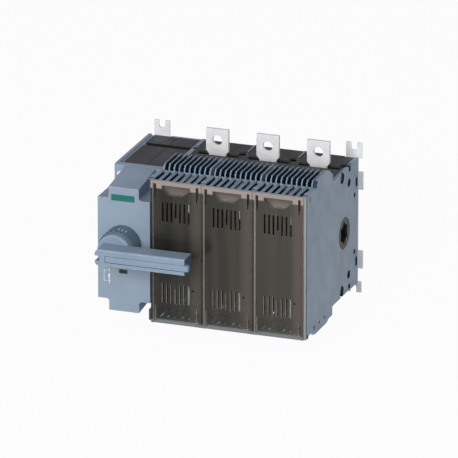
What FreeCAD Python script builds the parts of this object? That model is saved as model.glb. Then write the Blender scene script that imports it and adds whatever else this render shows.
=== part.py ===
import FreeCAD, Part
import math
import os

# Three-pole fuse switch disconnector with a rotary lever drive on its left.
# Millimetres, +Z up. The mounting plane is Y = 0 and the front faces -Y.
# The origin is in the mounting plane, on the switch shaft's height and the middle of the width.

V = FreeCAD.Vector

# The row of poles
POLES = 3
POLE_PITCH = 56.3
PARTITION = 2.0
END_PLATE = 4.0
DEPTH = 168.0
REAR_HEIGHT = 138.0
FRONT_RISE = 9.5
CHAMBER_DEPTH = 83.5
SEAM = 0.3
RUNNING_GAP = 0.08
SEAT_GAP = 0.1

# The contact chambers and the shaft in them
SHAFT_OFF_CENTRE = 4.35
CHAMBER_WALL = 2.5
CHAMBER_FRONT_WALL = 2.0
CHAMBER_SIDE = 1.4
CHAMBER_WEB = 2.0
DRUM_RADIUS = 17.3
DRUM_CLEARANCE = 0.5
DRUM_OPENING_SIDES = 16
SOCKET_TIP_RADIUS = 12.8
SOCKET_ROOT_RADIUS = 9.5
SOCKET_DEPTH = 10.0
SPIGOT_LENGTH = 8.0
STAR_POINTS = 6
BAR_WIDTH = 15.0
BAR_THICK = 5.0
BAR_TIP_GAP = 0.8
BAR_BARE = 4.3
STRIP = 3.0
CONTACT_FOOT = 4.0
REAR_STRIP_SETBACK = 14.0
LOAD_STRIP_SETBACK = 8.0
TURN_DROP = 27.0
SPLITTER_ANGLES = (28.0, 41.0, 54.0)
SPLITTER_DEPTH = 10.6
SPLITTER_PAST_TIP = 4.0
SPLITTER_THICK = 1.2
RIDGE = 1.0
RIDGE_RISE = 0.4

# The terminals
LUG_WIDTH = 25.0
LUG_NECK = 18.5
LUG_THICK = 4.0
LUG_FROM_BACK = 39.1
LUG_RISE = 28.2
LUG_HOLE = 11.0
LUG_HOLE_DROP = 12.5
LUG_CHAMFER = 3.4
LUG_SHOULDER_RISE = 4.0
LUG_SLOT_HALF = 22.0
LUG_SLOT_AHEAD = 2.9
LUG_SLOT_BEHIND = 3.6
LUG_SLOT_EDGE = 3.0

# The fuse jaws
JAW_HEIGHT = 20.0
JAW_DROP = 18.0
JAW_BASE = 4.0
JAW_SHEET = 1.6
JAW_GAP = 3.2
JAW_ROOT_HALF = 8.0
JAW_LIP_HALF = 7.2
JAW_PINCH_SETBACK = 37.0
JAW_LIP_SETBACK = 17.0
JAW_LINK_HEIGHT = 12.0

# The vented shoulders above and below the fuse compartments
GRILLE_PLATE = 2.4
LEDGE_DEPTH = 31.7
LEDGE_SLOTS = 7
LEDGE_SLOT = 3.8
LEDGE_MARGIN = 1.9
LEDGE_BACK_MARGIN = 0.8
FINS = 10
FIN_THICK = 1.4
FIN_SETBACK = 11.5
FIN_RISE = 7.0
FIN_CORNER = 3.4
FIN_SLOT_MARGIN = 2.0
FIN_DIP = 6.0
PAD_HALF = 2.9
PAD_LENGTH = 9.0
PAD_SETBACK = 4.4
PAD_RISE = 1.0

# The fuse covers
COVER_SHEET = 1.7
COVER_RIB = 0.6
COVER_RIB_WIDTH = 2.2
COVER_GAP = 0.6
RIM_SHEET = 1.6
RIM_DEPTH = 6.0
RIM_GAP = 0.4
HINGE_SETBACK = 3.2
BOSS_RADIUS = 1.8
BOSS_LENGTH = 0.85
VENT_SLOTS = 7
VENT_PITCH = 4.8
VENT_SLOT = 1.9
VENT_DROP = 22.8
VENT_HEIGHT = 22.0
VENT_SHORT = 5.0
VENT_OFF_CENTRE = -0.3
CORNER_SLOT = 1.0
CORNER_SLOT_HEIGHT = 17.0
CORNER_SLOT_INSET = 4.8
GRIP_TOP_HALF = 15.9
GRIP_FOOT_HALF = 7.0
GRIP_HEIGHT = 10.5
GRIP_DEPTH = 4.5
TEST_HOLE = 2.6

# The drive unit
DRIVE_WIDTH = 60.8
DRIVE_FRONT_WIDTH = 58.3
DRIVE_FACE_SETBACK = 13.2
DRIVE_BOX_AHEAD = 20.3
DRIVE_WALL = 3.0
DRIVE_FACE_DROP = 7.6
DRIVE_FACE_SINK = 6.8
NOTCH_WIDTH = 12.3
NOTCH_HEIGHT = 12.6
NOTCH_CORNER = 3.0
CAP_THICK = 2.5
CAP_SETBACK = 6.1
CAP_LEDGE = 2.5
CAP_SIDE = 7.3
CAP_SPLIT = 33.4
CAP_SEAM = 0.6
CAP_CHANNEL_FRONT = 37.7
CAP_CHANNEL_BACK = 29.0
CAP_CHANNEL_DEPTH = 1.6
TROUGH_DEPTH = 5.5
TROUGH_WALL = 1.2
SIDE_RIM = 3.3
SIDE_STEP = 1.5
WINDOW_WIDTH = 9.4
WINDOW_HEIGHT = 4.6
WINDOW_DROP = 31.4
WINDOW_DEPTH = 1.5
WINDOW_SETBACK = 0.4
SCREW_RADIUS = 2.6
SCREW_HEAD = 2.2
SCREW_SHANK = 1.5
SCREW_LENGTH = 8.0
SCREW_POST = 3.0
SCREW_POST_FLOOR = 2.0

# The lever and its spindle
SPINDLE_FROM_LEFT = 28.4
SPINDLE_RADIUS = 6.0
COLLAR_RADIUS = 20.2
COLLAR_BORE = 12.0
COLLAR_LENGTH = 20.4
COLLAR_TICKS = 24
COLLAR_TICK = 1.0
HUB_RADIUS = 18.4
HUB_LENGTH = 8.4
HUB_CHAMFER = 1.2
LEVER_DEPTH = 21.0
LEVER_HEIGHT = 18.0
LEVER_TAIL = 13.1
LEVER_REACH = 86.5
LEVER_CHAMFER = 1.0
TAIL_ROUND = 5.0
TAIL_FACETS = 4
FORK_WIDTH = 5.7
FORK_DEPTH = 5.5
FORK_DROP = -0.9
SLIDE_HEIGHT = 7.3
SLIDE_DROP = -1.1
SLIDE_DEPTH = 6.0
SLIDE_TAIL = 2.0
SLIDE_PROUD = 4.0
SLIDE_TRAVEL = 10.0
SLIDE_KEY = 1.5
PADLOCK_HOLE = 3.6

# The bevel gears in the drive
GEAR_TEETH = 16
GEAR_RADIUS = 18.0
GEAR_FACE = 8.0
TOOTH_ABOVE = 1.9
TOOTH_BELOW = 2.5
TOOTH_TIP_HALF = 0.75
TOOTH_PITCH_HALF = 1.45
TOOTH_SUNK = 0.3
GEAR_BACK = 3.5
FRAME_PLATE = 3.0
FRAME_HALF_HEIGHT = 30.0
FRAME_FROM_GEAR = 7.0

# Mounting brackets, tie rods and the openings in the end plate
BRACKET_SHEET = 2.0
BRACKET_TAB = 17.7
BRACKET_RISE = 17.0
BRACKET_WAIST = 13.7
BRACKET_SLOT = 6.8
BRACKET_SLOT_RISE = 8.5
BRACKET_FOOT_SHORT = 5.0
BRACKET_EAR = 1.5
BRACKET_EAR_DROP = 15.0
BRACKET_EAR_LENGTH = 20.0
BRACKET_RIGHT_INSET = 4.9
BRACKET_LEFT_INSET = 15.5
TIE_RADIUS = 2.2
TIE_FROM_BACK = (53.3, 31.2)
TIE_DROPS = (6.0, 17.8)
TIE_MOUTHS = (6.2, 4.65)
SIDE_SLOT_FROM_BACK = 6.9
SIDE_SLOT_DROP = 24.7
SIDE_SLOT_WIDE = 6.0
SIDE_SLOT_TALL = 9.7
SIDE_HOLE_FROM_BACK = 13.1
SIDE_HOLE_DROP = 37.2
SIDE_HOLE_RADIUS = 2.8
# Slits in the right plate: setback from its front, height of the middle, width and height
TOP_SLIT = (10.3, 73.1, 1.8, 6.3)
FOOT_SLITS = ((23.6, 72.7, 3.0, 4.8), (40.6, 72.3, 2.4, 2.8), (56.1, 72.3, 2.4, 2.8))
FOOT_STEP = 2.7
FOOT_STEP_FRONT = 5.9
FOOT_STEP_BACK = 16.4
FOOT_SWELL = 2.5
FOOT_SWELL_FRONT = 25.9
FOOT_SWELL_BACK = 18.2
FOOT_SWELL_END = 12.3
LEFT_EDGE_SETBACK = 8.0
LEFT_EDGE_FOOT = 10.0
LEFT_EDGE_TOP = 12.0
DECK_NOTCH_RADIUS = 6.5
DECK_NOTCH_FROM_BACK = 29.5
PARTITION_PROUD = 0.8
PARTITION_GROOVE = 0.8

# Places worked out from the sizes above
HALF_WIDTH = (DRIVE_WIDTH + POLES * POLE_PITCH + 2 * END_PLATE - PARTITION) / 2
LEFT = -HALF_WIDTH
DRIVE_RIGHT = LEFT + DRIVE_WIDTH
FIRST_EDGE = DRIVE_RIGHT + END_PLATE - PARTITION / 2
HALF_REAR = REAR_HEIGHT / 2
HALF_FRONT = HALF_REAR + FRONT_RISE
POLE_INNER = POLE_PITCH - PARTITION
COVER_BACK = DEPTH - COVER_RIB - COVER_SHEET
PLATE_FRONT = COVER_BACK - SEAM
SHAFT_FROM_BACK = CHAMBER_DEPTH / 2 + SHAFT_OFF_CENTRE
SHAFT_Y = -SHAFT_FROM_BACK
BAR_REACH = CHAMBER_DEPTH - CHAMBER_FRONT_WALL - STRIP - SHAFT_FROM_BACK - BAR_TIP_GAP
CONTACT_OVERLAP = BAR_REACH - DRUM_RADIUS - BAR_BARE
SPLITTER_OUTER = BAR_REACH + SPLITTER_PAST_TIP
SPLITTER_INNER = SPLITTER_OUTER - SPLITTER_DEPTH
TURN_LEVEL = HALF_REAR - TURN_DROP
LUG_TIP = HALF_REAR + LUG_RISE
LUG_HOLE_HEIGHT = LUG_TIP - LUG_HOLE_DROP
LUG_SHOULDER = HALF_REAR + LUG_SHOULDER_RISE
LUG_SLOT_FRONT = LUG_FROM_BACK + LUG_THICK / 2 + LUG_SLOT_AHEAD
LUG_SLOT_BACK = LUG_FROM_BACK - LUG_THICK / 2 - LUG_SLOT_BEHIND
JAW_CENTRE = HALF_REAR - JAW_DROP
JAW_PINCH_FROM_BACK = DEPTH - JAW_PINCH_SETBACK
JAW_LIP_FROM_BACK = DEPTH - JAW_LIP_SETBACK
FIN_FRONT = PLATE_FRONT - LEDGE_DEPTH
FIN_BACK = CHAMBER_DEPTH + FIN_SETBACK
FIN_TOP = HALF_FRONT + FIN_RISE
FIN_PITCH = POLE_PITCH / FINS
VENT_TOP = HALF_FRONT - VENT_DROP
SPINDLE_X = LEFT + SPINDLE_FROM_LEFT
DRIVE_BOX_DEPTH = CHAMBER_DEPTH + DRIVE_BOX_AHEAD
DRIVE_FACE = DEPTH - DRIVE_FACE_SETBACK
DRIVE_FACE_TOP = HALF_REAR - DRIVE_FACE_DROP
DRIVE_FACE_BOTTOM = -(HALF_REAR + DRIVE_FACE_SINK)
CAP_FRONT = DRIVE_BOX_DEPTH - CAP_SETBACK
COLLAR_FRONT = DRIVE_FACE + COLLAR_LENGTH
HUB_BACK = COLLAR_FRONT + SEAM
LEVER_BACK = HUB_BACK + HUB_LENGTH
LEVER_FRONT = LEVER_BACK + LEVER_DEPTH
HINGE_Y = -(PLATE_FRONT - HINGE_SETBACK)
HINGE_Z = -(HALF_FRONT - HINGE_SETBACK)
LANE = (POLE_INNER / 2 - CHAMBER_SIDE + CHAMBER_WEB / 2) / 2
BRACKET_TIP = HALF_REAR + BRACKET_RISE
BRACKET_SLOT_FLOOR = HALF_REAR + BRACKET_SLOT_RISE
BRACKET_EAR_TOP = HALF_REAR - BRACKET_EAR_DROP
BRACKET_EAR_FOOT = BRACKET_EAR_TOP - BRACKET_EAR_LENGTH
TIE_PLACES = [(from_back, HALF_REAR - drop) for from_back, drop in zip(TIE_FROM_BACK, TIE_DROPS)]


def pole_edge(n):
    return FIRST_EDGE + n * POLE_PITCH


def pole_middle(n):
    return pole_edge(n) + POLE_PITCH / 2


def block(x0, x1, y0, y1, z0, z1):
    return Part.makeBox(x1 - x0, y1 - y0, z1 - z0, V(x0, y0, z0))


def rod(axis, start, radius, length):
    return Part.makeCylinder(radius, length, start, axis)


def polygon(points):
    return Part.Face(Part.makePolygon(points + [points[0]]))


def across(outline, x0, x1):
    """A solid of one (y, z) outline that runs along X."""
    return polygon([V(x0, y, z) for y, z in outline]).extrude(V(x1 - x0, 0, 0))


def upright(outline, z0, z1):
    """A solid of one (x, y) outline that runs along Z."""
    return polygon([V(x, y, z0) for x, y in outline]).extrude(V(0, 0, z1 - z0))


def frontal(outline, y0, y1):
    """A solid of one (x, z) outline that runs along Y."""
    return polygon([V(x, y0, z) for x, z in outline]).extrude(V(0, y1 - y0, 0))


def regular(cy, cz, radius, sides):
    """The corners of a regular (y, z) outline whose flat sides keep a radius clear."""
    reach = radius / math.cos(math.pi / sides)
    turns = [2 * math.pi * (k + 0.5) / sides for k in range(sides)]
    return [(cy + reach * math.cos(turn), cz + reach * math.sin(turn)) for turn in turns]


def flat_sided(sections):
    """A solid with flat faces between outlines that have as many corners."""
    faces = [polygon(sections[0]), polygon(sections[-1])]
    for low, high in zip(sections, sections[1:]):
        for k in range(len(low)):
            j = (k + 1) % len(low)
            faces.append(polygon([low[k], low[j], high[j], high[k]]))
    return Part.Solid(Part.Shell(faces))


def join(shapes):
    return shapes[0].multiFuse(shapes[1:]).removeSplitter()


def upside_down(shape):
    return shape.mirror(V(0, 0, 0), V(0, 0, 1))


def edges_where(shape, test):
    return [e for e in shape.Edges if test(e.BoundBox)]


def star(x, radius_change, length):
    """The star of the shaft couplings, running along X from x."""
    points = []
    for k in range(2 * STAR_POINTS):
        reach = (SOCKET_TIP_RADIUS, SOCKET_ROOT_RADIUS)[k % 2] + radius_change
        turn = math.pi * k / STAR_POINTS
        points.append((SHAFT_Y + reach * math.sin(turn), reach * math.cos(turn)))
    return across(points, x, x + length)


def tie_rods_along(x0, x1, gap=0):
    """The four hexagonal tie rods, or the holes for them when given a gap."""
    rods = []
    for from_back, height in TIE_PLACES:
        for z in (height, -height):
            rods.append(across(regular(-from_back, z, TIE_RADIUS + gap, 6), x0, x1))
    return rods


# Plates between and beside the poles

def deck_line(back, groove):
    """The top edge over the chambers, from the front: level, then a proud rim behind the notch."""
    rim = DECK_NOTCH_FROM_BACK - DECK_NOTCH_RADIUS
    level = HALF_REAR - groove
    proud = HALF_REAR + PARTITION_PROUD
    return [(-CHAMBER_DEPTH, level), (-rim, level), (-rim, proud), (-back, proud)]


def mirrored(line):
    """The same edge on the lower side, walked back to its start."""
    return [(y, -z) for y, z in reversed(line)]


def partition_outline():
    """The side view of a partition: tall in front, dipped between the fins, lower behind."""
    front = -FIN_FRONT + FIN_SLOT_MARGIN
    back = -FIN_BACK - FIN_SLOT_MARGIN
    dip = HALF_FRONT - FIN_DIP
    top = [(-PLATE_FRONT, HALF_FRONT), (front, HALF_FRONT), (front, dip), (back, dip), (back, HALF_FRONT),
           (-CHAMBER_DEPTH, HALF_FRONT)] + deck_line(0, PARTITION_GROOVE)
    return top + mirrored(top)


def right_outline():
    """The right plate: it rises with the fins on top, and its foot steps up and swells below."""
    top = [(-PLATE_FRONT, HALF_FRONT), (-FIN_FRONT, HALF_FRONT), (-FIN_FRONT, FIN_TOP - FIN_CORNER),
           (-FIN_FRONT + FIN_CORNER, FIN_TOP), (-FIN_BACK, FIN_TOP),
           (-CHAMBER_DEPTH - CHAMBER_FRONT_WALL, HALF_FRONT), (-CHAMBER_DEPTH, HALF_FRONT)]
    foot = [(-CHAMBER_DEPTH, -HALF_FRONT), (-CHAMBER_DEPTH - FOOT_SWELL_END, -HALF_FRONT),
            (-CHAMBER_DEPTH - FOOT_SWELL_BACK, -HALF_FRONT - FOOT_SWELL),
            (-PLATE_FRONT + FOOT_SWELL_FRONT, -HALF_FRONT - FOOT_SWELL),
            (-PLATE_FRONT + FOOT_STEP_BACK, -HALF_FRONT + FOOT_STEP),
            (-PLATE_FRONT + FOOT_STEP_FRONT, -HALF_FRONT + FOOT_STEP),
            (-PLATE_FRONT + FOOT_STEP_FRONT, -HALF_FRONT), (-PLATE_FRONT, -HALF_FRONT)]
    deck = deck_line(BRACKET_SHEET, 0)
    return top + deck + mirrored(deck) + foot


def left_outline():
    """The left plate: its front edge stands back between its top and its hinge."""
    edge = -PLATE_FRONT + LEFT_EDGE_SETBACK
    knee = HINGE_Z + LEFT_EDGE_FOOT
    brow = HALF_FRONT - LEFT_EDGE_TOP
    deck = deck_line(0, 0)
    top = [(-PLATE_FRONT, HALF_FRONT), (-CHAMBER_DEPTH, HALF_FRONT)] + deck
    foot = mirrored(deck) + [(-CHAMBER_DEPTH, -HALF_FRONT), (-PLATE_FRONT, -HALF_FRONT)]
    return top + foot + [(-PLATE_FRONT, knee), (edge, knee), (edge, brow), (-PLATE_FRONT, brow)]


def side_plate(outline, x0, x1):
    """A plate with its bores for the drum, the tie rods and a cover's hinge boss."""
    plate = across(outline, x0, x1)
    foot = edges_where(plate, lambda b: b.YMax < -PLATE_FRONT + 0.1 and b.ZMax < -HALF_FRONT + 0.1)
    plate = plate.makeFillet(HINGE_SETBACK - 0.01, foot)
    holes = tie_rods_along(x0, x1, SEAT_GAP)
    holes.append(rod(V(1, 0, 0), V(x0, SHAFT_Y, 0), DRUM_RADIUS + RUNNING_GAP, x1 - x0))
    holes.append(rod(V(1, 0, 0), V(x0, HINGE_Y, HINGE_Z), BOSS_RADIUS + RUNNING_GAP, x1 - x0))
    for z in (HALF_REAR, -HALF_REAR):
        holes.append(deck_notch_slot(x0, x1, z))
    return plate.cut(holes)


def deck_notch_slot(x0, x1, z):
    half = DECK_NOTCH_RADIUS / 2
    y = -DECK_NOTCH_FROM_BACK
    return block(x0, x1, y - half, y + half, z - DECK_NOTCH_RADIUS, z + DECK_NOTCH_RADIUS)


def latch_pad(x0, x1):
    """The raised pad on a plate's top edge, between two covers."""
    y0 = -PLATE_FRONT + PAD_SETBACK
    return block(x0, x1, y0, y0 + PAD_LENGTH, HALF_FRONT, HALF_FRONT + PAD_RISE)


def partition(n):
    x = pole_edge(n)
    plate = side_plate(partition_outline(), x - PARTITION / 2, x + PARTITION / 2)
    return join([plate, latch_pad(x - PAD_HALF, x + PAD_HALF)])


def end_plate_right():
    x1 = HALF_WIDTH
    x0 = x1 - END_PLATE
    plate = side_plate(right_outline(), x0, x1)
    tools = []
    for (from_back, height), mouth in zip(TIE_PLACES, TIE_MOUTHS):
        for z in (height, -height):
            tools.append(rod(V(1, 0, 0), V(x0 + END_PLATE / 4, -from_back, z), mouth, END_PLATE))
    half = SIDE_SLOT_WIDE / 2
    slot_y = -SIDE_SLOT_FROM_BACK
    for side in (1, -1):
        z = side * (HALF_REAR - SIDE_SLOT_DROP)
        tools.append(block(x0, x1, slot_y - half, slot_y + half, z - SIDE_SLOT_TALL / 2,
                           z + SIDE_SLOT_TALL / 2))
        z = side * (HALF_REAR - SIDE_HOLE_DROP)
        tools.append(rod(V(1, 0, 0), V(x0, -SIDE_HOLE_FROM_BACK, z), SIDE_HOLE_RADIUS, END_PLATE))
    tools.append(slit(x0, x1, *TOP_SLIT))
    tools += [upside_down(slit(x0, x1, *place)) for place in FOOT_SLITS]
    return join([plate.cut(tools), latch_pad(x0 + PARTITION / 2 - PAD_HALF, x1)])


def slit(x0, x1, setback, height, wide, tall):
    """A slit through a plate, placed from the plate's front and the shaft's height."""
    y = -PLATE_FRONT + setback
    return block(x0, x1, y - wide / 2, y + wide / 2, height - tall / 2, height + tall / 2)


def end_plate_left():
    x0 = DRIVE_RIGHT
    x1 = x0 + END_PLATE
    plate = side_plate(left_outline(), x0, x1)
    return join([plate, latch_pad(x0, x1 - PARTITION / 2 + PAD_HALF)])


# One pole: the two halves of its contact chamber

def chamber_body(n):
    """Both halves of a chamber in one piece, before they are parted at the shaft."""
    x = pole_middle(n)
    half = POLE_INNER / 2
    body = block(x - half, x + half, -CHAMBER_DEPTH, 0, -HALF_REAR, HALF_REAR)
    ridge_back = -DECK_NOTCH_FROM_BACK - DECK_NOTCH_RADIUS
    for x0 in (x - half, x + half - RIDGE):
        body = body.fuse(block(x0, x0 + RIDGE, -CHAMBER_DEPTH, ridge_back,
                               -HALF_REAR - RIDGE_RISE, HALF_REAR + RIDGE_RISE))
    inner = HALF_REAR - CHAMBER_WALL
    y0 = -CHAMBER_DEPTH + CHAMBER_FRONT_WALL
    lanes = []
    for x0, x1 in ((x - half + CHAMBER_SIDE, x - CHAMBER_WEB / 2),
                   (x + CHAMBER_WEB / 2, x + half - CHAMBER_SIDE)):
        lanes.append(block(x0, x1, y0, -CHAMBER_WALL, -inner, inner))
    tools = lanes + tie_rods_along(x - half, x + half, SEAT_GAP)
    opening = regular(SHAFT_Y, 0, DRUM_RADIUS + DRUM_CLEARANCE, DRUM_OPENING_SIDES)
    tools.append(across(opening, x - half, x + half))
    for side in (1, -1):
        z = side * (HALF_REAR - CHAMBER_WALL / 2)
        tools.append(block(x - LUG_SLOT_HALF, x + half - LUG_SLOT_EDGE, -LUG_SLOT_FRONT, -LUG_SLOT_BACK,
                           z - CHAMBER_WALL, z + CHAMBER_WALL))
        tools.append(block(x - LUG_NECK / 2 - SEAM, x + LUG_NECK / 2 + SEAM,
                           -LUG_SLOT_FRONT, -LUG_SLOT_BACK,
                           min(side * TURN_LEVEL, z) - SEAM, max(side * TURN_LEVEL, z) + SEAM))
        tools.append(rod(V(0, 0, 1), V(x + half, -DECK_NOTCH_FROM_BACK, z - CHAMBER_WALL),
                         DECK_NOTCH_RADIUS, 2 * CHAMBER_WALL))
    tools.append(turn_room(x, 1))
    tools.append(turn_room(x, -1))
    tools.append(link_window(x - LANE, 1))
    tools.append(link_window(x + LANE, -1))
    return body.cut(tools)


def turn_room(x, side):
    """Room in the web where a terminal crosses to its own lane."""
    setback = REAR_STRIP_SETBACK if side > 0 else LOAD_STRIP_SETBACK
    z = side * (TURN_LEVEL + CONTACT_FOOT / 2)
    half = CONTACT_FOOT / 2 + SEAM
    return block(x - CHAMBER_WEB, x + CHAMBER_WEB, -LUG_SLOT_FRONT, -setback + SEAM, z - half, z + half)


def link_window(x, side):
    """The window where a fuse jaw's link passes the chamber's front wall."""
    half_x = BAR_WIDTH / 2 + SEAT_GAP
    half_z = JAW_LINK_HEIGHT / 2 + SEAT_GAP
    z = side * JAW_CENTRE
    y = -CHAMBER_DEPTH
    return block(x - half_x, x + half_x, y - 1, y + CHAMBER_FRONT_WALL + 1, z - half_z, z + half_z)


def chamber_front(n):
    x = pole_middle(n)
    keep = block(x - POLE_PITCH, x + POLE_PITCH, -CHAMBER_DEPTH - 1, SHAFT_Y, -REAR_HEIGHT, REAR_HEIGHT)
    return chamber_body(n).common(keep)


def chamber_rear(n):
    x = pole_middle(n)
    keep = block(x - POLE_PITCH, x + POLE_PITCH, SHAFT_Y, 1, -REAR_HEIGHT, REAR_HEIGHT)
    half = chamber_body(n).common(keep)
    if n == POLES - 1:
        half = half.cut(bracket_pocket(bracket_right_x()))
    return half


# One pole: copper and the moving contacts

def lug_outline(x):
    """The front view of a terminal lug: a flat bar that narrows to its neck."""
    wide = LUG_WIDTH / 2
    neck = LUG_NECK / 2
    return [(x - neck, TURN_LEVEL), (x + neck, TURN_LEVEL),
            (x + neck, LUG_SHOULDER - LUG_CHAMFER), (x + wide, LUG_SHOULDER), (x + wide, LUG_TIP),
            (x - wide, LUG_TIP), (x - wide, LUG_SHOULDER), (x - neck, LUG_SHOULDER - LUG_CHAMFER)]


def terminal(n, side):
    """A lug with its strip to the fixed contact; side is 1 for the line, -1 for the load."""
    x = pole_middle(n)
    lane = x - side * LANE
    y0 = -LUG_FROM_BACK - LUG_THICK / 2
    y1 = y0 + LUG_THICK
    lug = frontal(lug_outline(x), y0, y1)
    setback = REAR_STRIP_SETBACK if side > 0 else LOAD_STRIP_SETBACK
    far = x + side * LUG_NECK / 2
    near = lane - side * BAR_WIDTH / 2
    shelf = block(min(far, near), max(far, near), y0, -setback, TURN_LEVEL, TURN_LEVEL + CONTACT_FOOT)
    lug = lug.cut(rod(V(0, 1, 0), V(x, y0, LUG_HOLE_HEIGHT), LUG_HOLE / 2, LUG_THICK))
    foot_level = BAR_THICK / 2 + SEAM
    low = foot_level if side > 0 else -(foot_level + CONTACT_FOOT)
    half = BAR_WIDTH / 2
    strip = block(lane - half, lane + half, -setback - STRIP, -setback, low, TURN_LEVEL)
    reach = SHAFT_Y + BAR_REACH - CONTACT_OVERLAP
    foot = block(lane - half, lane + half, reach, -setback, low, low + CONTACT_FOOT)
    whole = join([lug, shelf, strip, foot])
    return whole if side > 0 else upside_down(whole)


def jaw_leaf(x, side):
    """One spring leaf of a fuse jaw, seen from above: it pinches, then flares to its lip."""
    root, pinch, lip = side * JAW_ROOT_HALF, side * JAW_GAP, side * JAW_LIP_HALF
    sheet = side * JAW_SHEET
    base = -CHAMBER_DEPTH - JAW_BASE / 2
    knee = -(CHAMBER_DEPTH + JAW_BASE + JAW_PINCH_FROM_BACK) / 2
    inner = [(x + root, base), (x + pinch + sheet, knee), (x + pinch, -JAW_PINCH_FROM_BACK),
             (x + lip, -JAW_LIP_FROM_BACK)]
    return inner + [(px + sheet, py) for px, py in reversed(inner)]


def fuse_jaw(n, side):
    """A fuse jaw with the strip that leads to its fixed contact in the chamber."""
    x = pole_middle(n)
    lane = x - side * LANE
    half_height = JAW_HEIGHT / 2
    leaves = []
    for hand in (1, -1):
        leaves.append(upright(jaw_leaf(x, hand), JAW_CENTRE - half_height, JAW_CENTRE + half_height))
    half = BAR_WIDTH / 2
    wall = -CHAMBER_DEPTH
    span = JAW_ROOT_HALF + JAW_SHEET
    x0 = min(x - span, lane - half)
    x1 = max(x + span, lane + half)
    base = block(x0, x1, wall - JAW_BASE, wall, JAW_CENTRE - half_height, JAW_CENTRE + half_height)
    inside = wall + CHAMBER_FRONT_WALL
    link_low = JAW_CENTRE - JAW_LINK_HEIGHT / 2
    link_high = JAW_CENTRE + JAW_LINK_HEIGHT / 2
    link = block(lane - half, lane + half, wall, inside + STRIP, link_low, link_high)
    foot_level = BAR_THICK / 2 + SEAM
    low = -foot_level - CONTACT_FOOT if side > 0 else foot_level
    strip = block(lane - half, lane + half, inside, inside + STRIP, low, link_high)
    reach = SHAFT_Y - BAR_REACH + CONTACT_OVERLAP
    foot = block(lane - half, lane + half, inside, reach, low, low + CONTACT_FOOT)
    whole = join([base, link, strip, foot] + leaves)
    return whole if side > 0 else upside_down(whole)


def contact_bars(n):
    """The two moving contact bars of a pole, upright in the off position."""
    bars = []
    for side in (-1, 1):
        x = pole_middle(n) + side * LANE
        bars.append(block(x - BAR_WIDTH / 2, x + BAR_WIDTH / 2, SHAFT_Y - BAR_THICK / 2,
                          SHAFT_Y + BAR_THICK / 2, -BAR_REACH, BAR_REACH))
    return Part.makeCompound(bars)


def contact_drum(n):
    """The moulded drum that carries a pole's bars, with a star spigot and a star socket."""
    x0 = pole_edge(n) + PARTITION / 2
    x1 = pole_edge(n + 1) + PARTITION / 2
    if n == POLES - 1:
        x1 = HALF_WIDTH - SEAM
    drum = rod(V(1, 0, 0), V(x0, SHAFT_Y, 0), DRUM_RADIUS, x1 - x0)
    drum = drum.fuse(star(x0 - SPIGOT_LENGTH, -SEAT_GAP, SPIGOT_LENGTH + 1))
    return drum.cut([star(x1 - SOCKET_DEPTH, 0, SOCKET_DEPTH)] + contact_bars(n).Solids)


def splitter_plate(x, turn):
    """A notched steel plate that stands across the sweep of a contact bar's tip."""
    half = LANE - CHAMBER_WEB / 2
    notch = BAR_WIDTH / 2 + 1.0
    tip = BAR_REACH + 1.4
    outline = [(-half, SPLITTER_INNER), (-notch, SPLITTER_INNER), (-notch, tip), (notch, tip),
               (notch, SPLITTER_INNER), (half, SPLITTER_INNER), (half, SPLITTER_OUTER),
               (-half, SPLITTER_OUTER)]
    plate = polygon([V(px, -SPLITTER_THICK / 2, pz) for px, pz in outline])
    plate = plate.extrude(V(0, SPLITTER_THICK, 0))
    plate.rotate(V(0, 0, 0), V(1, 0, 0), 90 - turn)
    plate.translate(V(x, SHAFT_Y, 0))
    return plate


def splitter_plates(n):
    plates = []
    for side in (-1, 1):
        for angle in SPLITTER_ANGLES:
            for turn in (angle, angle + 180):
                plates.append(splitter_plate(pole_middle(n) + side * LANE, turn))
    return Part.makeCompound(plates)


# One pole: the vented shoulders and the fuse cover

def fin(x):
    """A cooling fin with an upright front, a sloped brow and a flat run to the back."""
    floor = HALF_FRONT - GRILLE_PLATE / 2
    outline = [(-FIN_FRONT, floor), (-FIN_FRONT, FIN_TOP - FIN_CORNER),
               (-FIN_FRONT + FIN_CORNER, FIN_TOP), (-FIN_BACK, FIN_TOP), (-FIN_BACK, floor)]
    return across(outline, x, x + FIN_THICK)


def vent_grille(n, front):
    """The slotted ledge and the finned shoulder over a fuse compartment."""
    x = pole_middle(n)
    half = POLE_INNER / 2
    floor = HALF_FRONT - GRILLE_PLATE
    plate = block(x - half, x + half, -front, -CHAMBER_DEPTH, floor, HALF_FRONT)
    skirt_y = -CHAMBER_DEPTH
    skirt = block(x - half, x + half, skirt_y - CHAMBER_FRONT_WALL, skirt_y, HALF_REAR, HALF_FRONT)
    first = pole_edge(n) + (FIN_PITCH - FIN_THICK) / 2
    fins = [fin(first + k * FIN_PITCH) for k in range(FINS)]
    slots = []
    for k in range(-1, FINS):
        x0 = first + k * FIN_PITCH + FIN_THICK
        slots.append(block(x0, x0 + FIN_PITCH - FIN_THICK, -FIN_FRONT + FIN_SLOT_MARGIN,
                           -FIN_BACK - FIN_SLOT_MARGIN, floor, HALF_FRONT))
    ledge_pitch = POLE_INNER / LEDGE_SLOTS
    for k in range(LEDGE_SLOTS):
        middle = x - half + (k + 0.5) * ledge_pitch
        slots.append(block(middle - LEDGE_SLOT / 2, middle + LEDGE_SLOT / 2, -front + LEDGE_MARGIN,
                           -FIN_FRONT - LEDGE_BACK_MARGIN, floor, HALF_FRONT))
    return join([plate.cut(slots), skirt] + fins)


def vent_grille_top(n):
    return vent_grille(n, PLATE_FRONT)


def vent_grille_bottom(n):
    return upside_down(vent_grille(n, PLATE_FRONT - 2 * HINGE_SETBACK - RIM_DEPTH / 2))


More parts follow.
